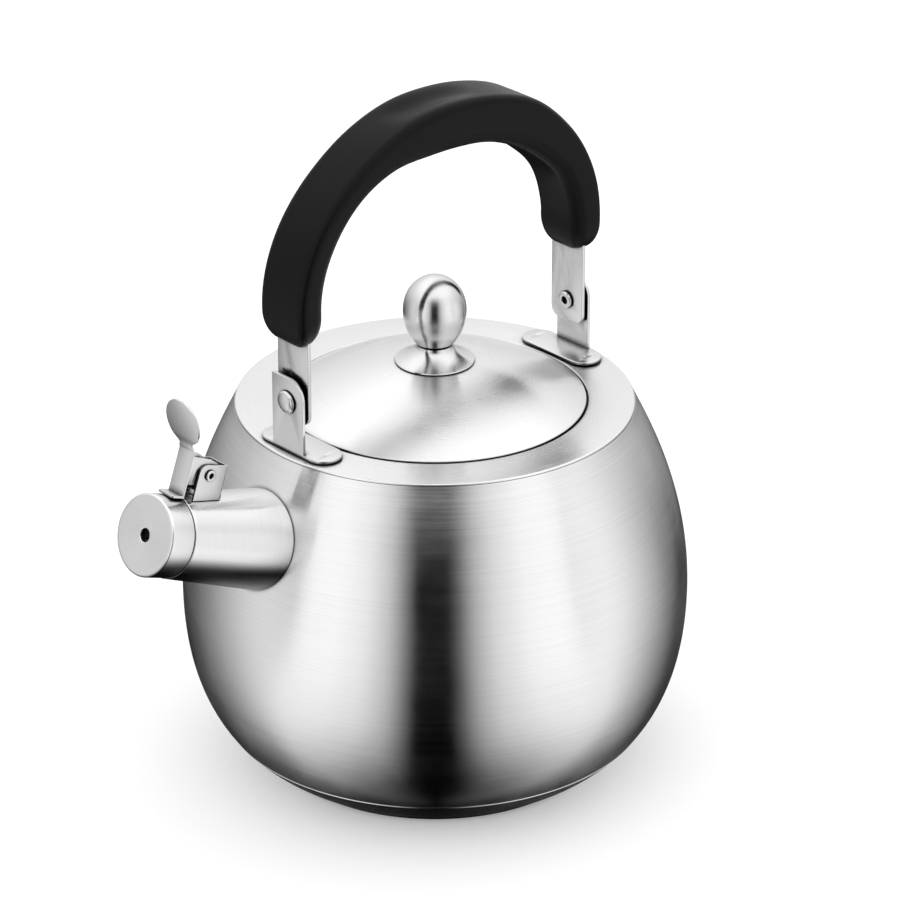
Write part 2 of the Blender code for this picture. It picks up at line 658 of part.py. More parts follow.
def lever_torsion_spring(look, hinge):
    """The coil round the pin, with one leg on the web and one on the lever's stem."""
    points = []
    steps = SPRING_TURNS * 8
    for step in range(steps + 1):
        angle = 2 * math.pi * SPRING_TURNS * step / steps
        across = SPRING_WIDTH * (step / steps - 0.5)
        points.append((SPRING_COIL * math.sin(angle), across, -SPRING_COIL * math.cos(angle)))
    web_leg = (EAR_START + EAR_WALL + GAP + SPRING_WIRE - PIN_ALONG, -SPRING_WIDTH / 2, -SPRING_COIL)
    stem_leg = (WHISTLE_BACK - GAP - SPRING_WIRE - PIN_ALONG, SPRING_WIDTH / 2, -SPRING_COIL)
    points = [web_leg] + points + [stem_leg]
    curve = bpy.data.curves.new("lever_torsion_spring", "CURVE")
    curve.dimensions = "3D"
    curve.bevel_depth = SPRING_WIRE
    curve.bevel_resolution = 1
    curve.use_fill_caps = True
    line = curve.splines.new("POLY")
    line.points.add(len(points) - 1)
    for knot, point in zip(line.points, points):
        knot.co = (*point, 1.0)
    curve.materials.append(look)
    spring = bpy.data.objects.new("lever_torsion_spring", curve)
    spring.parent = hinge
    bpy.context.scene.collection.objects.link(spring)
    return spring


def ribbon(stations, thickness):
    """Bent sheet through (along, height, half width) stations, thickened on its left side."""
    rings = []
    for index, (along, height, half) in enumerate(stations):
        before = Vector(stations[max(index - 1, 0)][:2])
        after = Vector(stations[min(index + 1, len(stations) - 1)][:2])
        run = (after - before).normalized()
        back = Vector((-run.y, run.x)) * thickness
        rings.append([
            (along, -half, height), (along, half, height),
            (along + back.x, half, height + back.y), (along + back.x, -half, height + back.y),
        ])
    return lofted(rings)


def whistle_lever(look, hinge):
    """The lever: a foot on the cap, a stem, two drilled flanges and the thumb paddle."""
    front = WHISTLE_BACK + LEVER_WALL
    half = STEM_WIDTH / 2
    lean = math.radians(PADDLE_LEAN_DEG)
    stations = [(front, LEVER_BOTTOM, half), (front, STEM_TOP - PADDLE_BEND, half)]
    for share in (0.12, 0.25, 0.4, 0.55, 0.7, 0.82, 0.91, 0.97, 1.0):
        oval = (share - PADDLE_WIDEST) / PADDLE_OVAL
        swell = PADDLE_WIDTH / 2 * math.sqrt(max(1.0 - oval ** 2, 0.0))
        if share < 0.3:
            swell = max(swell, half)
        rise = STEM_TOP + PADDLE_LENGTH * share * math.cos(lean)
        stations.append((front + PADDLE_LENGTH * share * math.sin(lean), rise, swell))
    shift = Vector((PIN_ALONG, 0.0, PIN_HEIGHT))
    offset = [(along - shift.x, height - shift.z, wide) for along, height, wide in stations]
    lever = piece("whistle_lever", ribbon(offset, LEVER_WALL), look, hinge)
    back = WHISTLE_BACK - shift.x
    floor = LEVER_BOTTOM - shift.z
    foot = block((back, -half, floor), (back + FOOT_LENGTH, half, floor + LEVER_WALL))
    boolean(lever, piece("lever_foot", foot, look, hinge), "UNION")
    fold = back + LEVER_WALL / 2
    slope_start = 0.6 * FLANGE_REACH
    edge = [
        (fold, -FLANGE_DROP), (-slope_start, -FLANGE_DROP),
        (-FLANGE_REACH, -0.4 * FLANGE_DROP), (-FLANGE_REACH, 0.2 * STEM_RISE),
        (-slope_start, 0.6 * STEM_RISE), (0.0, 0.8 * STEM_RISE), (fold, 0.9 * STEM_RISE),
    ]
    hole = circle((0.0, 0.0), PIN_RADIUS + PIN_CLEARANCE)
    for side, name in ((-1, "lever_flange_a"), (1, "lever_flange_b")):
        middle = side * (half - FLANGE_WALL / 2)
        flange = piece(name, upright([edge, hole], FLANGE_WALL, middle), look, hinge)
        boolean(lever, flange, "UNION")
    return lever


def whistle_cap(look, hinge):
    """The cup over the spout's tip, with the whistle's front hole."""
    back = WHISTLE_BACK
    front = WHISTLE_FRONT
    outer = WHISTLE_RADIUS
    inner = outer - WHISTLE_WALL
    edge = WHISTLE_EDGE
    outline = [(WHISTLE_HOLE_RADIUS, front), (outer - edge, front)]
    outline += arc((outer - edge, front - edge), edge, 60.0, 0.0, 2)
    outline += [
        (outer, back), (inner, back), (inner, front - WHISTLE_WALL - edge / 2),
        (inner - edge / 2, front - WHISTLE_WALL), (WHISTLE_HOLE_RADIUS, front - WHISTLE_WALL),
    ]
    return piece("whistle_cap", along_spout(outline, MIDDLE_STEPS), look, hinge, place=(-PIN_ALONG, 0.0, -PIN_HEIGHT))


def whistle_chamber_cup(look, hinge):
    """The dish pressed into the cap: the second hole of the whistle, and the spout's seal."""
    back = CHAMBER_BACK
    hole = WHISTLE_HOLE_RADIUS
    radius = CHAMBER_RADIUS
    outline = [
        (hole, back), (radius, back), (radius, back + CHAMBER_DEPTH),
        (radius - CHAMBER_WALL, back + CHAMBER_DEPTH), (radius - CHAMBER_WALL, back + CHAMBER_WALL),
        (hole, back + CHAMBER_WALL),
    ]
    shape = along_spout(outline, MIDDLE_STEPS)
    return piece("whistle_chamber_cup", shape, look, hinge, place=(-PIN_ALONG, 0.0, -PIN_HEIGHT))


# ---------------------------------------------------------------- handle
def facing_x(loops, thickness, inner_x, side):
    """Sheet that stands across X, from inner_x outwards on the given side. Loops are (y, z)."""
    shape = pressed(loops, thickness)
    for point in shape.verts:
        point.co = (side * (inner_x + point.co.z), point.co.x, point.co.y)
    return shape


def handle_bracket(name, side, look):
    """A welded foot on the deck and a leg with one round top corner, drilled for the rivet."""
    half = BRACKET_WIDTH / 2
    top = HANDLE_AXIS_Z + BRACKET_RISE
    corner = (-half + BRACKET_ROUND, top - BRACKET_ROUND)
    edge = [(-half, FOOT_Z), (half, FOOT_Z), (half, top)]
    edge += arc(corner, BRACKET_ROUND, 90.0, 180.0, 6)
    hole = circle((0.0, HANDLE_AXIS_Z), RIVET_RADIUS + RIVET_CLEARANCE)
    leg = piece(name, facing_x([edge, hole], BRACKET_WALL, BRACKET_INNER_X, side), look)
    radius = BRACKET_FOOT_DEPTH / 2
    reach = BRACKET_FOOT_LENGTH / 2 - radius
    middle = side * (BRACKET_OUTER_X - radius)
    ends = arc((middle, reach), radius, 0.0, 180.0, 10) + arc((middle, -reach), radius, 180.0, 360.0, 10)
    foot = pressed([ends], BRACKET_FOOT_WALL)
    bmesh.ops.translate(foot, verts=foot.verts, vec=(0.0, 0.0, FOOT_Z))
    boolean(leg, piece(name + "_foot", foot, look), "UNION")
    return leg


def handle_strap(name, side, look, swing):
    """The steel strap moulded into the grip, drilled at its lower end."""
    half = STRAP_WIDTH / 2
    low = -STRAP_DROP
    high = STRAP_RISE
    edge = arc((half - STRAP_ROUND, low + STRAP_ROUND), STRAP_ROUND, -90.0, 0.0, 4)
    edge += arc((half - STRAP_TOP_ROUND, high - STRAP_TOP_ROUND), STRAP_TOP_ROUND, 0.0, 90.0, 2)
    edge += arc((STRAP_TOP_ROUND - half, high - STRAP_TOP_ROUND), STRAP_TOP_ROUND, 90.0, 180.0, 2)
    edge += arc((STRAP_ROUND - half, low + STRAP_ROUND), STRAP_ROUND, 180.0, 270.0, 4)
    hole = circle((0.0, 0.0), RIVET_RADIUS + RIVET_CLEARANCE)
    shape = facing_x([edge, hole], STRAP_WALL, STRAP_INNER_X, side)
    return piece(name, shape, look, swing)


def across_handle(name, outline, side, look):
    """A piece turned about the handle's axis. Outline heights are distances from the kettle's axis."""
    turn = (0.0, side * math.pi / 2, 0.0)
    return piece(name, spun(outline, SMALL_STEPS), look, place=(0.0, 0.0, HANDLE_AXIS_Z), turn=turn)


def handle_rivet(name, side, look):
    """A tubular rivet: domed head outside the bracket, rolled hollow end inside the strap."""
    seat = BRACKET_OUTER_X + GAP
    roll = STRAP_INNER_X - GAP
    head = [
        (RIVET_HEAD_RADIUS * math.cos(angle), seat + 0.0003 + (RIVET_HEAD_HEIGHT - 0.0003) * math.sin(angle))
        for angle in (math.pi / 2 * step / 4 for step in range(4))
    ]
    end = roll - RIVET_ROLL_HEIGHT
    outline = [(0.0, roll), (RIVET_HOLLOW, roll), (RIVET_HOLLOW, end), (RIVET_ROLL_RADIUS * 0.75, end)]
    outline += [(RIVET_ROLL_RADIUS, roll - 0.0004), (RIVET_ROLL_RADIUS, roll), (RIVET_RADIUS, roll)]
    outline += [(RIVET_RADIUS, seat), (RIVET_HEAD_RADIUS, seat)] + head
    outline.append((0.0, seat + RIVET_HEAD_HEIGHT))
    return across_handle(name, outline, side, look)


def handle_washer(name, side, look):
    """The friction washer between the bracket's leg and the strap."""
    hole = RIVET_RADIUS + RIVET_CLEARANCE
    low = STRAP_OUTER_X + GAP
    high = low + WASHER_GAP
    outline = [(hole, low), (FRICTION_WASHER_RADIUS, low), (FRICTION_WASHER_RADIUS, high), (hole, high)]
    return across_handle(name, outline, side, look)


def grip_frame(angle_deg):
    """Outer point, inward direction and thickness of the grip at an angle round its arch."""
    swell, thickness = between(GRIP_STATIONS, angle_deg)
    angle = math.radians(angle_deg)
    arch = Vector((GRIP_HALF_SPAN * math.cos(angle), GRIP_RISE * math.sin(angle)))
    inward = -Vector((math.cos(angle) / GRIP_HALF_SPAN, math.sin(angle) / GRIP_RISE)).normalized()
    return arch - inward * swell, inward, thickness


def grip_ring(outer, inward, thickness, shrink):
    """One ring of the grip's section, a rounded block that narrows towards the hand's fingers."""
    steps = GRIP_SECTION_STEPS - 1
    across = GRIP_WIDTH / 2 - GRIP_CORNER
    inner_across = GRIP_INNER_WIDTH / 2 - GRIP_INNER_CORNER
    section = arc((across, GRIP_CORNER), GRIP_CORNER, -80.0, 0.0, steps)
    section += arc((inner_across, thickness - GRIP_INNER_CORNER), GRIP_INNER_CORNER, 10.0, 90.0, steps)
    section += [(-side, depth) for side, depth in reversed(section)]
    middle = thickness / 2
    narrow = 1.0 - 2 * shrink / GRIP_WIDTH
    thin = 1.0 - shrink / middle
    ring = []
    for side, depth in section:
        point = outer + inward * (middle + (depth - middle) * thin)
        ring.append((point.x, side * narrow, GRIP_CENTRE_RISE + point.y))
    return ring


def grip_rings():
    """Rings from one leg's end, over the arch, to the other's."""
    leg = GRIP_CENTRE_RISE - GRIP_END_RISE
    ends = [(leg, GRIP_END_ROUND), (leg - 0.0010, 0.0028), (leg - 0.0025, 0.0012), (leg - 0.0050, 0.0)]
    rings = []
    for drop, shrink in ends:
        outer, inward, thickness = grip_frame(180.0)
        rings.append(grip_ring(outer - Vector((0.0, drop)), inward, thickness, shrink))
    for step in range(GRIP_RINGS + 1):
        outer, inward, thickness = grip_frame(180.0 * (1.0 - step / GRIP_RINGS))
        rings.append(grip_ring(outer, inward, thickness, 0.0))
    for drop, shrink in reversed(ends):
        outer, inward, thickness = grip_frame(0.0)
        rings.append(grip_ring(outer - Vector((0.0, drop)), inward, thickness, shrink))
    return rings


def handle_grip(look, swing):
    """The moulded grip, with a socket in each end for its strap."""
    grip = piece("handle_grip", lofted(grip_rings()), look, swing)
    half = STRAP_WIDTH / 2 + SOCKET_CLEARANCE
    low = -STRAP_DROP
    high = STRAP_RISE + SOCKET_CLEARANCE
    for side, name in ((-1, "socket_front"), (1, "socket_rear")):
        near, far = sorted((side * (STRAP_INNER_X - SOCKET_CLEARANCE), side * (STRAP_OUTER_X + SOCKET_CLEARANCE)))
        socket = piece(name, block((near, -half, low), (far, half, high)), look, swing)
        boolean(grip, socket, "DIFFERENCE")
    return grip


# ---------------------------------------------------------------- the kettle
def build():
    clear_scene()
    brushed = finish("brushed_steel", (0.62, 0.62, 0.63), 0.30, 1.0)
    satin = finish("satin_steel", (0.72, 0.72, 0.73), 0.28, 1.0)
    polished = finish("polished_steel", (0.70, 0.70, 0.71), 0.12, 1.0)
    spring_steel = finish("spring_steel", (0.22, 0.22, 0.23), 0.35, 1.0)
    aluminium = finish("cast_aluminium", (0.55, 0.56, 0.57), 0.45, 1.0)
    black = finish("black_moulding", (0.018, 0.018, 0.019), 0.42, 0.0)
    fibre = finish("washer_fibre", (0.10, 0.10, 0.10), 0.60, 0.0)

    spout = empty("spout_axis", spout_root(), SPOUT_TURN)
    hinge = empty("whistle_hinge_axis", (PIN_ALONG, 0.0, PIN_HEIGHT))
    hinge.parent = spout
    swing = empty("handle_axis", (0.0, 0.0, HANDLE_AXIS_Z))

    envelope = body_envelope(brushed)
    body_shell(brushed, spout)
    top_deck(satin)
    base_cap(brushed)
    base_core_disc(aluminium)
    spout_tube(brushed, spout, envelope)
    spout_hinge_bracket(satin, spout, spout_envelope(satin, spout))
    whistle_hinge_pin(satin, hinge)
    lever_torsion_spring(spring_steel, hinge)
    whistle_lever(satin, hinge)
    whistle_cap(satin, hinge)
    whistle_chamber_cup(satin, hinge)
    for side, end in ((-1, "front"), (1, "rear")):
        handle_bracket("handle_bracket_" + end, side, satin)
        handle_rivet("handle_rivet_" + end, side, polished)
        handle_washer("handle_washer_" + end, side, fibre)
        handle_strap("handle_strap_" + end, side, satin, swing)
    handle_grip(black, swing)
    lid_dome(satin)
    lid_locating_ring(satin)
    knob_collar(polished)
    lid_knob(polished)
    knob_washer(satin)
    knob_screw(satin)


build()
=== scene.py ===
"""The looks of a stovetop whistling kettle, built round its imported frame.

Metres, +Z up, in the frame's own place: the kettle stands on its base at the origin, its spout
points along -X and its handle swings about X. Laid out as an add-on and run as a script.
"""

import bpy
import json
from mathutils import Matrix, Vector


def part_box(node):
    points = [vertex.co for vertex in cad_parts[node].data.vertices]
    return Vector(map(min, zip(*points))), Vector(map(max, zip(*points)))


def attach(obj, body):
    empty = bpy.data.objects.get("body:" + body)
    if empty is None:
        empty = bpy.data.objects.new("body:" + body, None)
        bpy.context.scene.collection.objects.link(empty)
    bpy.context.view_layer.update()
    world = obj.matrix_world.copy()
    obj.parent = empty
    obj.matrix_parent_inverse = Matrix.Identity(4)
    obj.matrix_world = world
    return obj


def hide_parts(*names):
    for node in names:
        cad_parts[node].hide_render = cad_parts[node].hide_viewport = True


bl_info = {
    "name": "Whistling kettle",
    "version": (1, 0, 0),
    "blender": (4, 5, 0),
    "location": "3D View > Sidebar > Kettle",
    "description": "Builds the pieces and finishes of a stovetop whistling kettle",
    "category": "Add Mesh",
}

import json
import math

import bmesh
import bpy
from bpy.props import FloatProperty, FloatVectorProperty, IntProperty, PointerProperty
from mathutils import Matrix, Vector
from mathutils.geometry import interpolate_bezier

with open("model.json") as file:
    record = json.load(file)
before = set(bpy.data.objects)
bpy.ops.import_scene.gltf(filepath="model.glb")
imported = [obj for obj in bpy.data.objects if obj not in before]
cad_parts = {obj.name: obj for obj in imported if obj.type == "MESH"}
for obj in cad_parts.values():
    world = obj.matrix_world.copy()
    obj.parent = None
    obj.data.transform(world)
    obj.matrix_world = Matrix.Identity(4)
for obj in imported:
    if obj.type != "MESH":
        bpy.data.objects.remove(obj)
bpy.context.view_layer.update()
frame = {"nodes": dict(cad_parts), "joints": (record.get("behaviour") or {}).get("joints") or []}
JOINTS = {joint["name"]: joint for joint in frame["joints"]}

GAP = 0.0003                      # clearance that the frame keeps between its pieces
HAIRLINE = 0.00004                # joint that only shows as a fine line
HINGE_SHEET = 0.0008              # sheet of the whistle hinge's bracket and of the lever's flanges
LEVER_SHEET = 0.0009
PIN_HOLE = 0.0015                 # radius of the hole for the hinge pin
RIVET_HOLE = 0.0025               # radius of the hole for a handle rivet
SPIGOT = 0.0050                   # how far the spout's narrow end reaches into the whistle cap
PIN = Vector(JOINTS["whistle_flip"]["pos_m"])
HANDLE_Z = JOINTS["handle_swing"]["pos_m"][2]
DECK_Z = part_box("top_deck")[1].z
DECK_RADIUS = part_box("top_deck")[1].y
BODY_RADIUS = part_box("body_shell")[1].y
SHELL_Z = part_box("body_shell")[0].z
CAP_RIM_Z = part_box("base_cap")[1].z
LID_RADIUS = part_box("lid_dome")[1].y
LID_TOP_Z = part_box("lid_dome")[1].z
LID_SEAT_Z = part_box("lid_dome")[0].z
KNOB_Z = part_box("lid_knob")[0].z
KNOB_TOP_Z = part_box("lid_knob")[1].z
BRACKET_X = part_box("handle_bracket_rear")[1].x
STRAP_INNER_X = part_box("handle_strap_rear")[0].x
STRAP_OUTER_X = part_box("handle_strap_rear")[1].x


# ---------------------------------------------------------------- sizes and colours
def length(name, default, description):
    return FloatProperty(name=name, default=default, description=description, min=0.0, unit="LENGTH",
                         subtype="DISTANCE", precision=5)


def colour(name, default, description):
    return FloatVectorProperty(name=name, default=default, description=description, size=3, min=0.0,
                               max=1.0, subtype="COLOR")


def turn(name, degrees, description):
    return FloatProperty(name=name, default=math.radians(degrees), description=description,
                         unit="ROTATION", subtype="ANGLE")


class KettleBodySizes(bpy.types.PropertyGroup):
    """Sizes of the body, the base, the deck and the lid."""
    widest_z: length("Widest height", 0.0688, "Height of the body's widest line")
    base_radius: length("Base radius", 0.0615, "Edge of the flat base")
    rise: length("Belly rise", 0.0389, "How far the widest line's roundness reaches up")
    fall: length("Belly fall", 0.0580, "How far the widest line's roundness reaches down")
    wall: length("Wall", 0.0010, "Thickness of the body's wall")
    sheet: length("Sheet", 0.0008, "Thickness of the deck, the lid and the base cap")
    mouth_radius: length("Mouth radius", 0.0480, "Radius of the mouth's neck")
    lid_rise: length("Lid rise", 0.0160, "Height of the dome above the lid's edge")
    collar_radius: length("Collar radius", 0.0148, "Foot of the knob's collar")
    neck_radius: length("Neck radius", 0.0068, "Narrowest part under the knob")
    knob_radius: length("Knob radius", 0.0117, "Widest part of the knob")
    knob_widest: length("Knob's widest height", 0.0132, "From the neck to the knob's widest line")
    round_steps: IntProperty(name="Round steps", default=160, min=16,
                             description="Sides of the large pieces")


class KettleSpoutSizes(bpy.types.PropertyGroup):
    """Sizes of the spout, the whistle and its lever."""
    rise: turn("Rise", 20.0, "Angle of the spout above level")
    reach: length("Length", 0.0410, "From the root to the shoulder behind the whistle cap")
    root_radius: length("Root radius", 0.0184, "Outside of the spout at its root")
    tip_radius: length("Tip radius", 0.0153, "Outside of the spout behind the cap")
    pin_setback: length("Pin setback", 0.0080, "From the hinge pin forwards to the end of the taper")
    pin_rise: length("Pin rise", 0.0094, "From the spout's outside up to the hinge pin")
    cap_length: length("Cap length", 0.0103, "Length of the whistle cap")
    whistle_hole: length("Whistle hole", 0.0025, "Radius of the hole in the cap's face")
    stem_width: length("Stem width", 0.0083, "Width of the lever's stem")
    paddle_length: length("Paddle length", 0.0206, "From the bend to the paddle's tip")
    paddle_width: length("Paddle width", 0.0180, "Widest part of the thumb paddle")
    paddle_lean: turn("Paddle lean", 27.0, "How far the paddle leans back")
    wire: length("Spring wire", 0.0003, "Radius of the spring's wire")


class KettleHandleSizes(bpy.types.PropertyGroup):
    """Sizes of the handle, its straps and its brackets."""
    bracket_width: length("Bracket width", 0.0168, "Width of the bracket's leg")
    bracket_round: length("Bracket corner", 0.0075, "Radius of the leg's round corner")
    foot_length: length("Foot length", 0.0374, "Length of the welded foot")
    foot_depth: length("Foot depth", 0.0133, "Depth of the welded foot")
    arch_centre: length("Arch centre", 0.0360, "Height of the arch's middle above the rivets")
    arch_rise: length("Arch rise", 0.0625, "Height of the arch above its middle")
    grip_width: length("Grip width", 0.0240, "Width of the grip's outer side")
    grip_inner_width: length("Grip inner width", 0.0190, "Width of the grip's inner side")
    thumb_depth: length("Thumb rest", 0.0017, "Depth of the hollow on top of the grip")


class KettleColours(bpy.types.PropertyGroup):
    """Colours of the finishes."""
    brushed: colour("Brushed steel", (0.76, 0.76, 0.765), "Body, base and spout")
    satin: colour("Satin steel", (0.80, 0.80, 0.805), "Deck, lid and whistle")
    polished: colour("Polished steel", (0.66, 0.66, 0.665), "Knob, collar, rivets, straps and brackets")
    spring: colour("Spring steel", (0.16, 0.16, 0.165), "Wire of the lever's spring")
    aluminium: colour("Aluminium", (0.62, 0.63, 0.64), "Disc inside the base")
    moulding: colour("Black moulding", (0.004, 0.004, 0.0044), "Grip")
    fibre: colour("Washer fibre", (0.07, 0.068, 0.065), "Friction washers")
    floor: colour("Floor", (0.74, 0.74, 0.74), "Pale floor")


class KettleStageSizes(bpy.types.PropertyGroup):
    """Camera and studio."""
    azimuth: turn("Camera azimuth", -41.85, "Direction of the camera round the kettle")
    elevation: turn("Camera elevation", 25.5, "Height of the camera above level")
    distance: length("Camera distance", 1.70, "From the camera to the point that it looks at")
    lens: FloatProperty(name="Lens", default=183.0, description="Focal length in millimetres")
    aim_z: length("Aim height", 0.1223, "Height of the point that the camera looks at")
    aim_side: length("Aim side", 0.0056, "How far that point is moved to the camera's right")
    light: FloatProperty(name="Studio light", default=1.32, description="Brightness of the studio's walls")


def sizes(group):
    return getattr(bpy.context.scene, "kettle_" + group)


# ---------------------------------------------------------------- outlines
def arc(centre, radius, first_deg, last_deg, steps):
    """Points on a round corner."""
    angles = [math.radians(first_deg + (last_deg - first_deg) * step / steps) for step in range(steps + 1)]
    return [(centre[0] + radius * math.cos(angle), centre[1] + radius * math.sin(angle)) for angle in angles]


def drilled(centre, radius, sides):
    """A round hole's outline."""
    return arc(centre, radius, 0.0, 360.0 - 360.0 / sides, sides - 1)


def oblong(near, far, half):
    """An outline between two places on X, and as wide each way on Y."""
    return [(near, -half), (far, -half), (far, half), (near, half)]


def quarter(steps):
    """Angles from level to upright."""
    return [math.pi / 2 * step / steps for step in range(steps + 1)]


def rounded(corners, steps=4):
    """An open outline through (x, z) or (x, z, radius) corners, with an arc where a radius is given."""
    found = []
    for index, corner in enumerate(corners):
        place = Vector(corner[:2])
        if len(corner) < 3 or index in (0, len(corners) - 1):
            found.append(tuple(place))
            continue
        before = (Vector(corners[index - 1][:2]) - place).normalized()
        after = (Vector(corners[index + 1][:2]) - place).normalized()
        half = before.angle(after) / 2
        middle = place + (before + after).normalized() * corner[2] / math.sin(half)
        start = place + before * corner[2] / math.tan(half) - middle
        end = place + after * corner[2] / math.tan(half) - middle
        found += [tuple(middle + start.slerp(end, step / steps) * corner[2]) for step in range(steps + 1)]
    return found


def belly():
    """The body's outer wall, base to shoulder, as two curves that meet at the widest line."""
    size = sizes("body")
    base = Vector((size.base_radius, 0.0))
    widest = Vector((BODY_RADIUS, size.widest_z))
    shoulder = Vector((DECK_RADIUS - 0.0002, DECK_Z))
    leave_base = base + 0.0034 * Vector((0.50, 1.0))
    reach_shoulder = shoulder + 0.0080 * Vector((0.40, -1.0))
    lower = interpolate_bezier(base, leave_base, widest - Vector((0.0, size.fall)), widest, 120)
    upper = interpolate_bezier(widest, widest + Vector((0.0, size.rise)), reach_shoulder, shoulder, 120)
    return lower + upper[1:]


def wall_point(curve, height, inset):
    """The wall's point at a height, moved inwards by the inset."""
    for low, high in zip(curve, curve[1:]):
        if height <= high.y:
            break
    part = (height - low.y) / (high.y - low.y)
    along = (high - low).normalized()
    return low.x + (high.x - low.x) * part - along.y * inset, height + along.x * inset


def wall(curve, low, high, steps, inset):
    return [wall_point(curve, low + (high - low) * step / steps, inset) for step in range(steps + 1)]


def dome_z(radius, inset=0.0):
    """Height of the lid's outside, or of a surface a little under it."""
    rise = sizes("body").lid_rise
    bend = (LID_RADIUS ** 2 + rise ** 2) / (2 * rise)
    return LID_TOP_Z - bend + math.sqrt((bend - inset) ** 2 - radius ** 2)


# ---------------------------------------------------------------- making meshes
def linked(name, data):
    made = bpy.data.objects.new(name, data)
    bpy.context.scene.collection.objects.link(made)
    return made


def settled(name, guide, place=None):
    """The plain mesh object of a guide with its modifiers or curve evaluated, in its final place."""
    bpy.context.view_layer.update()
    graph = bpy.context.evaluated_depsgraph_get()
    mesh = bpy.data.meshes.new_from_object(guide.evaluated_get(graph), depsgraph=graph)
    if place is not None:
        mesh.transform(place)
    shape = bmesh.new()
    shape.from_mesh(mesh)
    bmesh.ops.remove_doubles(shape, verts=shape.verts, dist=2e-6)
    bmesh.ops.recalc_face_normals(shape, faces=shape.faces)
    shape.to_mesh(mesh)
    shape.free()
    bpy.data.objects.remove(guide, do_unlink=True)
    mesh.name = name
    mesh.shade_smooth()
    mesh.set_sharp_from_angle(angle=math.radians(38))
    return linked(name, mesh)


def set_input(change, name, value):
    """Sets a Geometry Nodes modifier's input by its socket's identifier."""
    for item in change.node_group.interface.items_tree:
        if item.item_type == "SOCKET" and item.in_out == "INPUT" and item.name == name:
            change[item.identifier] = value
            return
    raise RuntimeError("the node tree has no input named " + name)


def node_kit(tree):
    """Functions that add a node, add a sum, and fill a node's inputs with values or other sockets."""
    def join(node, inputs):
        for socket, source in inputs:
            if isinstance(source, bpy.types.NodeSocket):
                tree.links.new(source, node.inputs[socket])
            else:
                node.inputs[socket].default_value = source

    def add(kind, inputs=(), **settings):
        node = tree.nodes.new(kind)
        for key, value in settings.items():
            setattr(node, key, value)
        join(node, inputs)
        return node

    def sums(operation, *values):
        return add("ShaderNodeMath", enumerate(values), operation=operation).outputs[0]

    return add, sums, join


def new_tree(name, inputs):
    """A Geometry Nodes tree: what it is given, functions that add nodes and sums, and its last step."""
    tree = bpy.data.node_groups.new(name, "GeometryNodeTree")
    for label, kind in inputs + [("Finish", "Material")]:
        tree.interface.new_socket(label, in_out="INPUT", socket_type="NodeSocket" + kind)
    tree.interface.new_socket("Piece", in_out="OUTPUT", socket_type="NodeSocketGeometry")
    add, sums, _ = node_kit(tree)
    given = add("NodeGroupInput").outputs

    def close(geometry):
        real = add("GeometryNodeRealizeInstances", [("Geometry", geometry)]).outputs[0]
        dressed = add("GeometryNodeSetMaterial", [("Geometry", real), ("Material", given["Finish"])])
        add("NodeGroupOutput", [(0, dressed.outputs[0])])
        return tree

    return given, add, sums, close


def turned_tree():
    """Turns an outline, drawn in XZ as a chain of edges, about the Z axis."""
    given, add, sums, close = new_tree("Turned piece", [("Outline", "Geometry"), ("Steps", "Int")])
    count = add("GeometryNodeAttributeDomainSize", [("Geometry", given["Outline"])]).outputs["Point Count"]
    columns = sums("ADD", given["Steps"], 1.0)
    grid = add("GeometryNodeMeshGrid", [("Vertices X", count), ("Vertices Y", columns)])
    index = add("GeometryNodeInputIndex").outputs[0]
    row = sums("FLOOR", sums("DIVIDE", sums("ADD", index, 0.5), columns))
    column = sums("SUBTRACT", index, sums("MULTIPLY", row, columns))
    angle = sums("DIVIDE", sums("MULTIPLY", column, 2 * math.pi), given["Steps"])
    position = add("GeometryNodeInputPosition").outputs[0]
    point = add("GeometryNodeSampleIndex", [
        ("Geometry", given["Outline"]), ("Value", position), ("Index", row)], data_type="FLOAT_VECTOR")
    parts = add("ShaderNodeSeparateXYZ", [(0, point.outputs[0])]).outputs
    place = add("ShaderNodeCombineXYZ", [
        ("X", sums("MULTIPLY", parts["X"], sums("COSINE", angle))),
        ("Y", sums("MULTIPLY", parts["X"], sums("SINE", angle))),
        ("Z", parts["Z"]),
    ])
    moved = add("GeometryNodeSetPosition", [
        ("Geometry", grid.outputs["Mesh"]), ("Position", place.outputs[0])])
    closed = add("GeometryNodeMergeByDistance", [("Geometry", moved.outputs[0]), ("Distance", 1e-6)])
    return close(closed.outputs[0])


def wire_tree():
    """Sweeps a round wire along a path."""
    given, add, _, close = new_tree("Wire on a path", [("Path", "Geometry"), ("Radius", "Float")])
    smooth = add("GeometryNodeCurveSplineType", [("Curve", given["Path"])], spline_type="CATMULL_ROM")
    even = add("GeometryNodeResampleCurve", [("Curve", smooth.outputs[0]), ("Count", 360)])
    ring = add("GeometryNodeCurvePrimitiveCircle", [("Resolution", 14), ("Radius", given["Radius"])])
    swept = add("GeometryNodeCurveToMesh", [
        ("Curve", even.outputs[0]), ("Profile Curve", ring.outputs[0]), ("Fill Caps", True)])
    return close(swept.outputs[0])


def spread_tree():
    """Puts a copy of one small shape on every point of a layout."""
    given, add, _, close = new_tree("Copies on points", [("Points", "Geometry"), ("Shape", "Object")])
    shape = add("GeometryNodeObjectInfo", [("Object", given["Shape"])]).outputs["Geometry"]
    copies = add("GeometryNodeInstanceOnPoints", [("Points", given["Points"]), ("Instance", shape)])
    return close(copies.outputs[0])


def grown(name, guide, tree_name, inputs, look, place=None):
    """Runs one of the node trees on a guide and keeps the result as a plain mesh."""
    makers = {"Turned piece": turned_tree, "Wire on a path": wire_tree, "Copies on points": spread_tree}
    tree = bpy.data.node_groups.get(tree_name) or makers[tree_name]()
    change = guide.modifiers.new(tree_name, "NODES")
    change.node_group = tree
    for label, value in inputs.items():
        set_input(change, label, value)
    set_input(change, "Finish", look)
    return settled(name, guide, place)


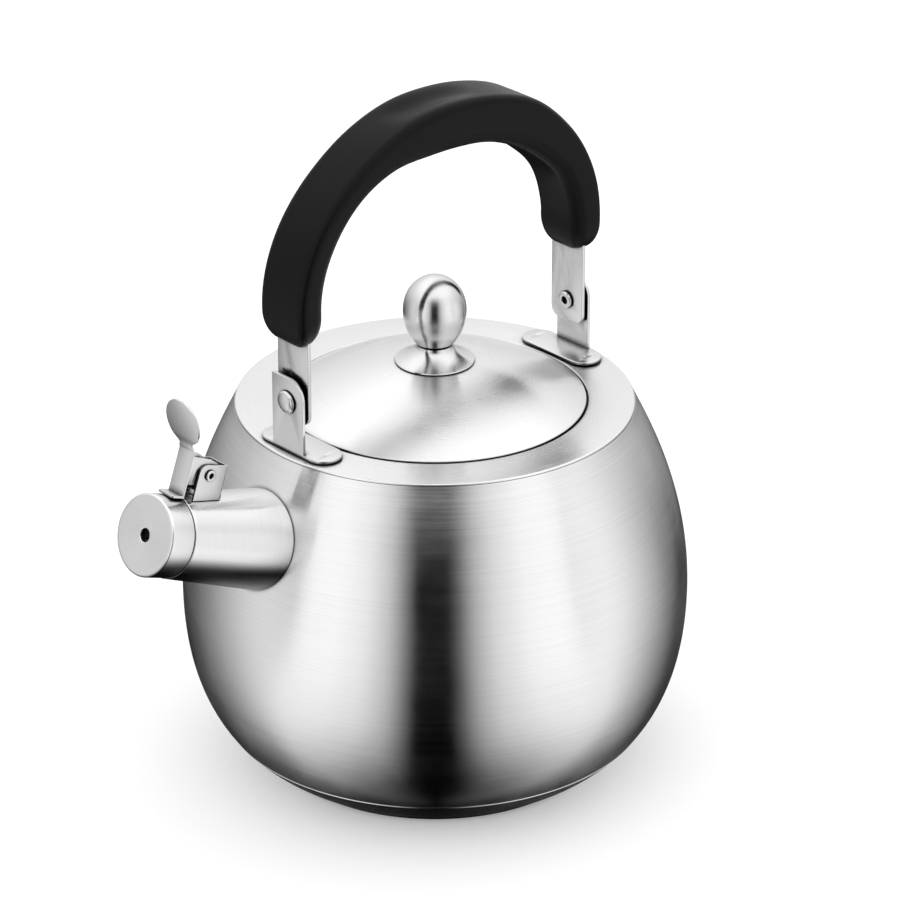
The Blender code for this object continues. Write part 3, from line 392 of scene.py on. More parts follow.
def turned(name, outline, look, steps=96, place=None):
    """A closed outline of (radius, height) points turned about Z, then put in its place."""
    on_axis = outline[0][0] == 0.0 and outline[-1][0] == 0.0
    points = outline if on_axis else outline + outline[:1]
    mesh = bpy.data.meshes.new(name)
    mesh.from_pydata([(radius, 0.0, height) for radius, height in points],
                     [(index, index + 1) for index in range(len(points) - 1)], [])
    return grown(name, linked(name + "_outline", mesh), "Turned piece", {"Steps": steps}, look, place)


def plate(name, loops, thickness, look, edge=0.00015, place=None):
    """Flat sheet between Z 0 and its thickness, with soft edges. The first loop is its outline."""
    curve = bpy.data.curves.new(name, "CURVE")
    curve.dimensions = "2D"
    curve.fill_mode = "BOTH"
    curve.extrude = thickness / 2 - edge
    curve.bevel_depth = edge
    curve.bevel_resolution = 2
    curve.offset = -edge
    for loop in loops:
        line = curve.splines.new("POLY")
        line.points.add(len(loop) - 1)
        line.use_cyclic_u = True
        for knot, (x, y) in zip(line.points, loop):
            knot.co = (x, y, 0.0, 1.0)
    curve.materials.append(look)
    lift = Matrix.Translation((0.0, 0.0, thickness / 2))
    return settled(name, linked(name + "_sheet", curve), lift if place is None else place @ lift)


def loft(name, rings, look):
    """Rings of equal length, joined in order and closed at both ends."""
    shape = bmesh.new()
    made = [[shape.verts.new(point) for point in ring] for ring in rings]
    for lower, upper in zip(made, made[1:]):
        for index, point in enumerate(lower):
            after = (index + 1) % len(lower)
            shape.faces.new((point, lower[after], upper[after], upper[index]))
    bmesh.ops.triangulate(shape, faces=[shape.faces.new(made[0]), shape.faces.new(made[-1])])
    mesh = bpy.data.meshes.new(name)
    shape.to_mesh(mesh)
    shape.free()
    mesh.materials.append(look)
    return settled(name, linked(name + "_rings", mesh))


def worked(target, operation, *tools):
    """Joins, cuts or trims a piece with others, which are used up."""
    name = target.name
    for tool in tools:
        change = target.modifiers.new(operation, "BOOLEAN")
        change.object = tool
        change.operation = operation
        change.solver = "EXACT"
    done = settled(name + "_worked", target)
    for tool in tools:
        bpy.data.objects.remove(tool, do_unlink=True)
    done.name = name
    if not done.data.polygons:
        raise RuntimeError(name + " was lost in a Boolean")
    return done


def placed(piece, body, slot, *nodes):
    """Gives a finished piece to its body and hides the frame's own pieces that it stands for."""
    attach(piece, body)
    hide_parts(*nodes)


def axes(origin, x, y, z):
    """A matrix from its origin and the directions of its axes."""
    made = Matrix((x, y, z)).transposed().to_4x4()
    made.translation = origin
    return made


def lifted(height):
    return Matrix.Translation((0.0, 0.0, height))


def standing(x):
    """Sheet that stands across X at a distance, with its own X to the side and its own Y up."""
    return axes((x, 0.0, 0.0), (0.0, 1.0, 0.0), (0.0, 0.0, 1.0), (1.0, 0.0, 0.0))


# ---------------------------------------------------------------- finishes
def wired(look):
    """Functions that add nodes and sums to a material and fill inputs, and its Principled shader."""
    look.use_nodes = True
    return *node_kit(look.node_tree), look.node_tree.nodes["Principled BSDF"]


def spread(add, value, low, high, start=0.35, end=0.65, **settings):
    """A value stretched from one pair of numbers to another. Noise lies between the first pair."""
    return add("ShaderNodeMapRange", [
        ("Value", value), ("From Min", start), ("From Max", end), ("To Min", low), ("To Max", high)],
        **settings).outputs[0]


def blended(add, part, first, second, kind="MIX"):
    """A colour part of the way from one tint to another. A tint is three numbers or a socket."""
    ends = [tint if isinstance(tint, bpy.types.NodeSocket) else (*tint, 1.0) for tint in (first, second)]
    return add("ShaderNodeMix", [("Factor", part), (6, ends[0]), (7, ends[1])], data_type="RGBA",
               blend_type=kind).outputs[2]


def noise(add, point, scale, detail, roughness):
    return add("ShaderNodeTexNoise", [
        ("Vector", point), ("Scale", scale), ("Detail", detail), ("Roughness", roughness)]).outputs["Fac"]


def shades(tint, low, high):
    """A darker and a lighter tint."""
    return [[min(value * part, 1.0) for value in tint] for part in (low, high)]


def steel(name, tint, rough, grain, bump, streak, on_spout=False, anisotropy=0.8, line=None, crevice=0.0022,
          tarnish=0.0):
    """Steel with its grain running round its axis, or along a line, with soft wear.

    The grain is the number of lines to the metre, and the streak is how strongly it changes the colour and
    the roughness. Painted shade darkens the colour in the crevices, and painted shade darkens the underside
    of a piece on the spout where an underside shade is given."""
    look = bpy.data.materials.new(name)
    add, sums, join, shader = wired(look)
    point = add("ShaderNodeTexCoord").outputs["Object"]
    if on_spout:
        axis = spout_axis()
        back = axis.inverted()
        point = add("ShaderNodeMapping", [
            ("Vector", point), ("Location", back.translation), ("Rotation", back.to_euler())]).outputs[0]
    parts = add("ShaderNodeSeparateXYZ", [(0, point)]).outputs
    if line is None:
        flat = add("ShaderNodeCombineXYZ", [("X", parts["X"]), ("Y", parts["Y"])]).outputs[0]
        radius = add("ShaderNodeVectorMath", [(0, flat)], operation="LENGTH").outputs["Value"]
        facing = add("ShaderNodeVectorMath", [(0, flat)], operation="NORMALIZE").outputs["Vector"]
        way = add("ShaderNodeSeparateXYZ", [(0, facing)]).outputs
        around = add("ShaderNodeCombineXYZ", [
            ("X", sums("MULTIPLY", way["X"], 1.3)), ("Y", sums("MULTIPLY", way["Y"], 1.3)),
            ("Z", sums("MULTIPLY", parts["Z"], grain))]).outputs[0]
        across = sums("MULTIPLY", radius, grain)
    else:
        stretch = [grain * (0.02 if index == "XYZ".index(line) else 1.0) for index in range(3)]
        around = add("ShaderNodeMapping", [("Vector", point), ("Scale", stretch)]).outputs[0]
        across = 0.0
    lines = add("ShaderNodeTexNoise", [
        ("Vector", around), ("W", across), ("Scale", 1.0), ("Detail", 4.0), ("Roughness", 0.7)],
        noise_dimensions="4D").outputs["Fac"]
    blotch = noise(add, point, 38.0, 3.0, 0.55)
    shade = sums("ADD", spread(add, lines, -streak, streak), spread(add, blotch, -0.02, 0.02))
    hue = blended(add, sums("ADD", shade, 0.5), *shades(tint, 0.62, 1.38))
    # Painted shade: ambient occlusion darkens the colour towards near black in crevices and where parts meet,
    # within the crevice distance.
    crevice_shade = add("ShaderNodeAmbientOcclusion", [("Distance", crevice)], samples=8).outputs["AO"]
    hue = blended(add, spread(add, crevice_shade, 0.0, 1.0, 0.38, 0.90), (0.02, 0.02, 0.021), hue)
    # Painted shade: the lower side of a spout piece's outer wall is darkened towards black. Surfaces nearer
    # the axis than 14 mm keep their colour.
    if tarnish:
        under = spread(add, parts["Y"], tarnish, 1.0, -0.0085, -0.0025, interpolation_type="SMOOTHSTEP")
        outside = spread(add, radius, 1.0, 0.0, 0.0140, 0.0149)
        hue = blended(add, sums("MAXIMUM", under, outside), (0.0, 0.0, 0.0), hue)
    grained = sums("ADD", spread(add, lines, -0.5 * streak, 0.5 * streak), rough)
    roughness = sums("ADD", grained, spread(add, blotch, -0.025, 0.035))
    join(shader, [
        ("Base Color", hue), ("Roughness", roughness), ("Metallic", 1.0), ("Anisotropic", anisotropy)])
    relief = add("ShaderNodeBump", [("Strength", bump), ("Distance", 0.00005), ("Height", lines)])
    join(shader, [("Normal", relief.outputs[0])])
    if line is None:
        ring = add("ShaderNodeVectorMath", [(0, (0.0, 0.0, 1.0)), (1, point)],
                   operation="CROSS_PRODUCT").outputs[0]
        if on_spout:
            ring = add("ShaderNodeMapping", [("Vector", ring), ("Rotation", axis.to_euler())],
                       vector_type="VECTOR").outputs[0]
        world = add("ShaderNodeVectorTransform", [(0, ring)], vector_type="VECTOR", convert_from="OBJECT",
                    convert_to="WORLD").outputs[0]
        join(shader, [("Anisotropic Rotation", 0.25), ("Tangent", world)])
    return look


def moulding(name, tint, rough, grain, bump, shine):
    """Moulded plastic with a fine spark texture and a little polish from the hand."""
    look = bpy.data.materials.new(name)
    add, sums, join, shader = wired(look)
    point = add("ShaderNodeTexCoord").outputs["Object"]
    spark = noise(add, point, grain, 2.0, 0.6)
    blotch = noise(add, point, 30.0, 3.0, 0.55)
    relief = add("ShaderNodeBump", [("Strength", bump), ("Distance", 0.0001), ("Height", spark)])
    sparkling = spread(add, spark, rough - 0.03, rough + 0.03)
    join(shader, [
        ("Base Color", blended(add, blotch, *shades(tint, 0.8, 1.3))),
        ("Roughness", sums("ADD", spread(add, blotch, -0.06, 0.06), sparkling)),
        ("Specular IOR Level", shine), ("Normal", relief.outputs[0])])
    return look


FINISHES = {                  # maker, colour, roughness, grain, bump, streak or shine, and what else is set
    "brushed_body_steel": (steel, "brushed", 0.19, 2600.0, 0.02, 0.05, {"anisotropy": 0.9}),
    "satin_deck_steel": (steel, "satin", 0.27, 2600.0, 0.02, 0.03, {"anisotropy": 0.85, "crevice": 0.0045}),
    # Painted shade: the underside number on the two spout finishes is how much of their colour the darkened
    # underside keeps.
    "brushed_spout_steel": (steel, "brushed", 0.20, 2600.0, 0.02, 0.05, {
        "on_spout": True, "anisotropy": 0.85, "crevice": 0.0012, "tarnish": 0.12}),
    "satin_whistle_steel": (steel, "satin", 0.28, 2600.0, 0.02, 0.03, {
        "on_spout": True, "anisotropy": 0.6, "crevice": 0.0012, "tarnish": 0.2}),
    "satin_sheet_steel": (steel, "polished", 0.24, 2600.0, 0.03, 0.05, {
        "line": "Z", "anisotropy": 0.0, "crevice": 0.0042}),
    "polished_turned_steel": (steel, "polished", 0.20, 2600.0, 0.02, 0.04, {"anisotropy": 0.85}),
    "polished_rivet_steel": (steel, "polished", 0.20, 2600.0, 0.03, 0.04, {"line": "X", "anisotropy": 0.0}),
    "drawn_spring_steel": (steel, "spring", 0.36, 3000.0, 0.10, 0.08, {"line": "Y", "anisotropy": 0.0}),
    "turned_aluminium": (steel, "aluminium", 0.42, 1200.0, 0.12, 0.08, {"anisotropy": 0.4}),
    "black_grip_moulding": (moulding, "moulding", 0.33, 2600.0, 0.06, 0.09, {}),
    "fibre_board": (moulding, "fibre", 0.70, 1800.0, 0.25, 0.3, {}),
}


def finish(name):
    """The finish of that name, made the first time that it is asked for."""
    if name in bpy.data.materials:
        return bpy.data.materials[name]
    maker, tint, *numbers, settings = FINISHES[name]
    return maker(name, list(getattr(sizes("colours"), tint)), *numbers, **settings)


# ---------------------------------------------------------------- places
def pin_place():
    """How far the hinge pin lies along the spout and above its middle line."""
    size = sizes("spout")
    return Vector((size.reach - size.pin_setback, size.tip_radius + size.pin_rise))


def spout_frame():
    """The spout's own directions: X along it, Y across, Z up from it, from its root."""
    rise = sizes("spout").rise
    along = Vector((-math.cos(rise), 0.0, math.sin(rise)))
    up = Vector((math.sin(rise), 0.0, math.cos(rise)))
    pin = pin_place()
    return axes(PIN - along * pin.x - up * pin.y, along, up.cross(along), up)


def spout_axis():
    """The spout's middle line as Z, for pieces that are turned about it."""
    place = spout_frame()
    along, across, up = (place.col[index].to_3d() for index in range(3))
    return axes(place.translation, across, up, along)


def spout_side():
    """The spout's directions for sheet that stands along it: Y up from it and Z across."""
    place = spout_frame()
    along, across, up = (place.col[index].to_3d() for index in range(3))
    return axes(place.translation, along, up, -across)


def side_name(side):
    return "front" if side < 0 else "rear"


# ---------------------------------------------------------------- operators
class KettlePiece:
    """What the kettle's operators share."""
    bl_options = {"REGISTER", "UNDO"}

    def execute(self, context):
        self.make()
        return {"FINISHED"}


class KETTLE_OT_body(KettlePiece, bpy.types.Operator):
    """Spins the body's wall with its floor and the hole for the spout"""
    bl_idname = "kettle.body"
    bl_label = "Body"

    def make(self):
        size = sizes("body")
        curve = belly()
        look = finish("brushed_body_steel")
        tuck = size.sheet + GAP
        step = CAP_RIM_Z + GAP
        top = DECK_Z - size.sheet - HAIRLINE
        bend = 0.0012
        outer = wall(curve, SHELL_Z + bend, step, 10, tuck) + wall(curve, step, top, 90, 0.0)
        inner = wall(curve, SHELL_Z + 2 * size.wall, top, 60, tuck + size.wall)
        floor = SHELL_Z + size.wall
        outline = [(0.0, SHELL_Z), (outer[0][0] - bend, SHELL_Z)] + outer + [(inner[-1][0], top)]
        outline += inner[:-1][::-1] + [(inner[0][0] - bend, floor), (0.0, floor)]
        body = turned("body_wall", outline, look, size.round_steps)
        hole = sizes("spout").root_radius - 0.0034
        shape = [(0.0, -0.03), (hole, -0.03), (hole, 0.02), (0.0, 0.02)]
        drill = turned("spout_drill", shape, look, 64, spout_axis())
        placed(worked(body, "DIFFERENCE", drill), "kettle", "brushed_steel", "body_shell")


class KETTLE_OT_deck(KettlePiece, bpy.types.Operator):
    """Turns the deck with the lid's ledge, the mouth's neck and the soft shoulder edge"""
    bl_idname = "kettle.deck"
    bl_label = "Deck"

    def make(self):
        size = sizes("body")
        sheet = size.sheet
        seat = LID_RADIUS + GAP
        ledge = LID_SEAT_Z - GAP
        under = DECK_Z - sheet
        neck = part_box("top_deck")[0].z
        skirt = DECK_RADIUS - 0.0016
        hem = DECK_Z - 0.0050
        mouth = size.mouth_radius
        outline = rounded([
            (seat + 0.0020, DECK_Z), (DECK_RADIUS - 0.0002, DECK_Z, 0.0006), (DECK_RADIUS, under, 0.0001),
            (skirt, under), (skirt, hem, 0.0002), (skirt - sheet, hem, 0.0002), (skirt - sheet, under),
            (seat + sheet, under, 0.0005), (seat + sheet, ledge - sheet, 0.0005),
            (mouth + sheet, ledge - sheet, 0.0010), (mouth + sheet, neck, 0.0003), (mouth, neck, 0.0003),
            (mouth, ledge, 0.0008), (seat, ledge, 0.0002), (seat, DECK_Z, 0.0008), (seat + 0.0014, DECK_Z),
        ], 5)
        placed(turned("deck", outline, finish("satin_deck_steel"), size.round_steps), "kettle",
               "satin_steel", "top_deck")


class KETTLE_OT_base(KettlePiece, bpy.types.Operator):
    """Turns the base cap, with its rolled rim and the rings pressed into its underside"""
    bl_idname = "kettle.base"
    bl_label = "Base"

    def make(self):
        size = sizes("body")
        curve = belly()
        sheet = size.sheet
        outer = wall(curve, 0.0012, CAP_RIM_Z - 0.0003, 24, 0.0)
        inner = wall(curve, sheet + 0.0010, CAP_RIM_Z - 0.0003, 20, sheet)
        edge = size.base_radius
        rings = []
        for radius in (0.0250, 0.0400, 0.0540):
            rings += [(radius - 0.0012, 0.0), (radius - 0.0008, 0.00025), (radius + 0.0008, 0.00025),
                      (radius + 0.0012, 0.0)]
        rim = arc(((outer[-1][0] + inner[-1][0]) / 2, CAP_RIM_Z - 0.0004), sheet / 2, -10.0, 190.0, 8)
        base = [(edge - 0.0015, 0.0), (edge + 0.0004, 0.0, 0.0008), outer[0]]
        outline = [(0.0, 0.0)] + rings + rounded(base, 5)
        outline += outer[1:-1] + [point for point in rim if point[1] < CAP_RIM_Z]
        outline += inner[:-1][::-1] + [(edge - 0.0006, sheet), (0.0, sheet)]
        placed(turned("base_dish", outline, finish("brushed_body_steel"), size.round_steps), "kettle",
               "brushed_steel", "base_cap")
        disc = frame["nodes"]["base_core_disc"]
        disc.data.materials.clear()
        disc.data.materials.append(finish("turned_aluminium"))


class KETTLE_OT_lid(KettlePiece, bpy.types.Operator):
    """Turns the domed lid and the ring under it"""
    bl_idname = "kettle.lid"
    bl_label = "Lid"

    def make(self):
        size = sizes("body")
        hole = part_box("knob_screw")[1].x * 0.5 + 0.0004
        rim = 0.0040
        sheet = size.sheet
        edge = LID_RADIUS - GAP
        radii = [hole + (edge - 0.0006 - hole) * step / 48 for step in range(49)]
        top = [(radius, dome_z(radius)) for radius in radii]
        inside = [hole + (LID_RADIUS - rim - hole) * step / 36 for step in range(37)]
        under = [(radius, dome_z(radius, sheet)) for radius in inside]
        lip = rounded([top[-1], (edge, dome_z(edge), 0.0004), (edge, LID_SEAT_Z, 0.0002),
                       (LID_RADIUS - rim, LID_SEAT_Z)], 5)
        look = finish("satin_deck_steel")
        placed(turned("lid_shell", under[::-1] + top[:-1] + lip, look, size.round_steps), "lid",
               "satin_steel", "lid_dome")
        low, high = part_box("lid_locating_ring")
        outer = high.x
        inner = outer - sheet
        flange = inner - 0.0050
        crown = dome_z(outer, sheet + GAP)
        tip = dome_z(flange, sheet + GAP)
        ring = rounded([
            (outer, crown - 0.0030), (outer, low.z, 0.0003), (inner, low.z, 0.0003),
            (inner, crown - sheet, 0.0015), (flange, tip - sheet, 0.0003), (flange, tip, 0.0003),
            (outer, crown, 0.0012), (outer, crown - 0.0028),
        ], 4)
        placed(turned("lid_ring", ring, look, 128), "lid", "satin_steel", "lid_locating_ring")


class KETTLE_OT_knob(KettlePiece, bpy.types.Operator):
    """Turns the egg-shaped knob, its flared collar, and the washer and screw under the lid"""
    bl_idname = "kettle.knob"
    bl_label = "Knob"

    def make(self):
        size = sizes("body")
        look = finish("polished_turned_steel")
        widest = KNOB_Z + size.knob_widest
        neck_share = size.neck_radius / size.knob_radius
        lower = size.knob_widest / math.sqrt(1.0 - neck_share ** 2)
        upper = KNOB_TOP_Z - widest
        start = -math.asin(size.knob_widest / lower)
        egg = [(size.knob_radius * math.cos(angle), widest + lower * math.sin(angle))
               for angle in (start * (1.0 - step / 24) for step in range(24))]
        egg += [(size.knob_radius * math.cos(angle), widest + upper * math.sin(angle))
                for angle in quarter(24)[:-1]]
        hole = 0.0022
        depth = KNOB_Z + 0.0113
        outline = [(0.0, depth), (hole, depth), (hole, KNOB_Z), (egg[0][0] - 0.0004, KNOB_Z)]
        outline += [(egg[0][0], KNOB_Z + 0.0003)] + egg[1:] + [(0.0, KNOB_TOP_Z)]
        placed(turned("knob_egg", outline, look, 96), "lid", "polished_steel", "lid_knob")
        self.collar(look, hole)
        self.screw(finish("satin_deck_steel"))

    def collar(self, look, hole):
        """Turns the flared collar that spreads from the knob's neck to the lid."""
        size = sizes("body")
        wide = size.collar_radius
        top = KNOB_Z - GAP
        foot = [(radius, dome_z(radius) + GAP) for radius in (hole, 0.0060, 0.0100, wide - 0.0003)]
        edge = Vector((wide - 0.0002, dome_z(wide) + GAP + 0.0005))
        neck = Vector((size.neck_radius, top - 0.0002))
        leave_edge = edge + Vector((-0.0034, 0.0010))
        reach_neck = neck - Vector((-0.0003, 0.0022))
        flare = interpolate_bezier(edge, leave_edge, reach_neck, neck, 28)
        outline = foot + [(wide, edge.y - 0.0003)] + [tuple(point) for point in flare]
        outline += [(size.neck_radius - 0.0003, top), (hole, top)]
        placed(turned("knob_flare", outline, look, 96), "lid", "polished_steel", "knob_collar")

    def screw(self, look):
        """Turns the washer and the crossed screw that hold the knob from inside the lid."""
        low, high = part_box("knob_washer")
        seat = low.z - GAP
        bore = 0.0023
        ring = rounded([
            (0.0040, high.z), (high.x, high.z, 0.0002), (high.x, low.z, 0.0002), (bore, low.z, 0.0002),
            (bore, high.z, 0.0001), (0.0036, high.z)], 3)
        placed(turned("screw_washer", ring, look, 48), "lid", "satin_steel", "knob_washer")
        low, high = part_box("knob_screw")
        crest, root, pitch = 0.00188, 0.00160, 0.0007
        thread = []
        height = seat + 0.0020
        while height < high.z - 0.0010:
            thread += [(crest, height), (root, height + pitch / 2)]
            height += pitch
        head = rounded([(0.0, low.z), (0.0030, low.z, 0.0012), (high.x, seat - 0.0008, 0.0006),
                        (high.x, seat, 0.0001), (0.0017, seat)], 4)
        outline = head + thread + [(0.0012, high.z), (0.0, high.z)]
        slots = [plate("slot", [oblong(-long, long, wide)], 0.0022, look, 0.0001, lifted(low.z - 0.0010))
                 for long, wide in ((0.0021, 0.00045), (0.00045, 0.0021))]
        screw = worked(turned("lid_screw", outline, look, 40), "DIFFERENCE", *slots)
        placed(screw, "lid", "satin_steel", "knob_screw")


class KETTLE_OT_spout(KettlePiece, bpy.types.Operator):
    """Turns the tapered spout, cut to the body's curve"""
    bl_idname = "kettle.spout"
    bl_label = "Spout"

    def make(self):
        size = sizes("spout")
        look = finish("brushed_spout_steel")
        fall = (size.root_radius - size.tip_radius) / size.reach
        inside = -0.0140
        thick = 0.0010
        root = size.root_radius - fall * inside
        spigot = size.tip_radius - 0.0026
        tip = size.reach + SPIGOT
        taper = [(root + (size.tip_radius - root) * step / 30, inside + (size.reach - inside) * step / 30)
                 for step in range(30)]
        end = rounded([
            taper[-1], (size.tip_radius, size.reach, 0.0004), (spigot, size.reach, 0.0004),
            (spigot, tip, 0.0005), (spigot - thick, tip, 0.0004),
            (spigot - thick, size.reach - thick, 0.0005),
            (size.tip_radius - thick, size.reach - thick, 0.0005), (root - thick, inside)], 4)
        tube = turned("spout_body", taper + end[1:], look, 128, spout_axis())
        curve = belly()
        outline = [(0.0, 0.03)] + wall(curve, 0.03, DECK_Z, 70, -GAP) + [(0.0, DECK_Z)]
        envelope = turned("body_envelope", outline, look, 240)
        placed(worked(tube, "DIFFERENCE", envelope), "kettle", "brushed_steel", "spout_tube")


class KETTLE_OT_whistle(KettlePiece, bpy.types.Operator):
    """Turns the whistle cap and the chamber cup inside it"""
    bl_idname = "kettle.whistle"
    bl_label = "Whistle"

    def make(self):
        size = sizes("spout")
        back = size.reach + GAP
        front = back + size.cap_length
        sheet = 0.0008
        outer = size.tip_radius - 0.0003
        inner = outer - sheet
        hole = size.whistle_hole
        outline = rounded([
            (outer - 0.0020, front), (outer, front, 0.0009), (outer, back, 0.0002), (inner, back, 0.0002),
            (inner, front - sheet, 0.0006), (hole, front - sheet, 0.0002), (hole, front, 0.0003),
            (hole + 0.0010, front)], 6)
        look = finish("satin_whistle_steel")
        cover = turned("whistle_cover", outline, look, 128, spout_axis())
        placed(cover, "whistle", "satin_steel", "whistle_cap")
        base = size.reach + SPIGOT + GAP
        wide = inner - GAP
        thick = 0.0007
        deep = base + 0.0034
        outline = rounded([
            (hole + 0.0010, base), (wide, base, 0.0006), (wide, deep, 0.0002), (wide - thick, deep, 0.0002),
            (wide - thick, base + thick, 0.0005), (hole, base + thick, 0.0002), (hole, base, 0.0002),
            (hole + 0.0008, base)], 4)
        cup = turned("whistle_cup", outline, look, 96, spout_axis())
        placed(cup, "whistle", "satin_steel", "whistle_chamber_cup")


class KETTLE_OT_lever(KettlePiece, bpy.types.Operator):
    """Folds the thumb lever: its foot, stem, flanges and paddle"""
    bl_idname = "kettle.lever"
    bl_label = "Lever"

    def make(self):
        size = sizes("spout")
        place = spout_frame()
        look = finish("satin_sheet_steel")
        half = size.stem_width / 2
        back = size.reach + GAP
        fold = back + LEVER_SHEET / 2
        pin = pin_place()
        bottom = size.tip_radius
        top = pin.y + 0.0069
        rise = top - 0.0030 - bottom
        lean = size.paddle_lean
        rings = [self.ring(place, fold, bottom + rise * step / 8, 0.0, half) for step in range(9)]
        for part in (step / 40 for step in range(1, 41)):
            oval = (part - 0.58) / 0.435
            wide = size.paddle_width / 2 * math.sqrt(max(1.0 - oval ** 2, 0.0))
            neck = half * (1.0 - 0.12 * math.sin(math.pi * min(part / 0.32, 1.0)))
            blend = min(max((part - 0.10) / 0.18, 0.0), 1.0)
            blend = blend * blend * (3 - 2 * blend)
            wide = max(neck * (1 - blend) + wide * blend, 0.0004)
            bend = min(part / 0.12, 1.0)
            along = fold + size.paddle_length * part * math.sin(lean) * (0.5 + 0.5 * bend)
            height = top + size.paddle_length * part * math.cos(lean)
            rings.append(self.ring(place, along, height, lean * bend, wide))
        lever = loft("thumb_lever", rings, look)
        edge = rounded([
            (fold, pin.y - 0.0042), (pin.x - 0.0034, pin.y - 0.0042, 0.0004),
            (pin.x - 0.0057, pin.y - 0.0017, 0.0010), (pin.x - 0.0057, pin.y + 0.0014, 0.0010),
            (pin.x - 0.0034, pin.y + 0.0041, 0.0010), (pin.x, pin.y + 0.0055, 0.0010),
            (fold, pin.y + 0.0062)])
        hole = drilled(pin, PIN_HOLE, 24)
        flanges = [plate("flange", [edge, hole], HINGE_SHEET, look, place=spout_side() @ lifted(low))
                   for low in (-half, half - HINGE_SHEET)]
        near = back + 0.0002
        far = back + 0.0058
        sole = rounded([(near, -half), (far, -half, 0.0012), (far, half, 0.0012), (near, half)], 5)
        foot = plate("foot", [sole], LEVER_SHEET, look, place=place @ lifted(bottom))
        placed(worked(lever, "UNION", foot, *flanges), "whistle", "satin_steel", "whistle_lever")

    def ring(self, place, along, height, tilt, wide):
        """One ring of the lever's sheet, at a place along the spout and above its middle line."""
        half = LEVER_SHEET / 2
        edge = min(0.0003, wide / 2, LEVER_SHEET / 3)
        section = rounded([(0.0, -half), (wide, -half, edge), (wide, half, edge), (-wide, half, edge),
                           (-wide, -half, edge), (-0.00001, -half)], 3)
        return [place @ Vector((along + depth * math.cos(tilt), across, height - depth * math.sin(tilt)))
                for across, depth in section]


class KETTLE_OT_hinge(KettlePiece, bpy.types.Operator):
    """Folds the bracket on the spout, with its hollow pin and the lever's spring"""
    bl_idname = "kettle.hinge"
    bl_label = "Whistle hinge"

    def make(self):
        size = sizes("spout")
        place = spout_frame()
        look = finish("satin_sheet_steel")
        inner = size.stem_width / 2 + GAP
        outer = inner + HINGE_SHEET
        pin = pin_place()
        front = size.reach - 0.0030
        back = front - 0.0130
        low = size.tip_radius - 0.0020
        top = pin.y + 0.0038
        spare = 0.001
        corner = 0.0010
        web = back + HINGE_SHEET
        fine = 0.00001
        plan = rounded([(front + spare, -inner), (web, -inner, corner / 2), (web, inner, corner / 2),
                        (front + spare, inner)], 5)
        plan += rounded([(front + spare, outer), (back, outer, corner), (back, -outer, corner),
                         (front + spare, -outer)], 5)
        channel = plate("hinge_cradle", [plan], top + 0.004 - low, look, fine, place @ lifted(low - 0.002))
        side = rounded([
            (front, low + 0.002), (front, low), (back + 0.0030, low, 0.0003),
            (back - spare, low + 0.0040, 0.0003), (back - spare, top), (front, top, 0.0034),
            (front, low + 0.003)], 7)
        hole = drilled(pin, PIN_HOLE, 24)
        profile = plate("profile", [side, hole], 0.02, look, fine, spout_side() @ lifted(-0.01))
        cradle = worked(channel, "INTERSECT", profile)
        fall = (size.root_radius - size.tip_radius) / size.reach
        margin = 0.0001
        sole_loop = oblong(back + margin, front - 0.0035, outer - margin)
        sole_top = size.root_radius - fall * back + GAP + HINGE_SHEET
        sole = plate("sole", [sole_loop], sole_top - low, look, 0.0001, place @ lifted(low))
        cradle = worked(cradle, "UNION", sole)
        seat = [(0.0, 0.0), (size.root_radius + GAP, 0.0), (size.tip_radius + GAP, size.reach),
                (0.0, size.reach)]
        cradle = worked(cradle, "DIFFERENCE", turned("seat", seat, look, 96, spout_axis()))
        placed(cradle, "kettle", "satin_steel", "spout_hinge_bracket")
        self.pin(look, outer + GAP)
        self.spring(place, pin, web + GAP + size.wire)

    def pin(self, look, shoulder):
        """Turns the hinge's pin, hollowed at both ends, with its heads past the shoulders."""
        shank, head, bore = 0.0012, 0.0021, 0.0009
        end = shoulder + 0.0007
        deep = shoulder - 0.0024
        half = rounded([
            (shank, 0.0), (shank, shoulder, 0.0001), (head, shoulder, 0.0002), (head, end, 0.0003),
            (shank, end, 0.0001), (bore, end - 0.0004), (bore, deep, 0.0001), (0.0, deep)], 3)
        outline = [(radius, -height) for radius, height in half[::-1]] + half[1:]
        level = axes(PIN, (1.0, 0.0, 0.0), (0.0, 0.0, -1.0), (0.0, 1.0, 0.0))
        placed(turned("hinge_pin", outline, look, 40, level), "kettle", "satin_steel", "whistle_hinge_pin")

    def spring(self, place, pin, web):
        """Winds the spring along its path, from the bracket's back to the lever's stem."""
        size = sizes("spout")
        coil = 0.0021
        width = 0.0048
        turns = 4
        steps = turns * 12
        stem = size.reach - size.wire
        points = [(web, -width / 2, pin.y - coil)]
        for step in range(steps + 1):
            angle = 2 * math.pi * turns * step / steps
            points.append((pin.x + coil * math.sin(angle), width * (step / steps - 0.5),
                           pin.y - coil * math.cos(angle)))
        points.append((stem, width / 2, pin.y - coil))
        curve = bpy.data.curves.new("spring_path", "CURVE")
        curve.dimensions = "3D"
        line = curve.splines.new("POLY")
        line.points.add(len(points) - 1)
        for knot, point in zip(line.points, points):
            knot.co = (*(place @ Vector(point)), 1.0)
        spring = grown("lever_spring", linked("spring_path", curve), "Wire on a path", {"Radius": size.wire},
                       finish("drawn_spring_steel"))
        placed(spring, "kettle", "spring_steel", "lever_torsion_spring")


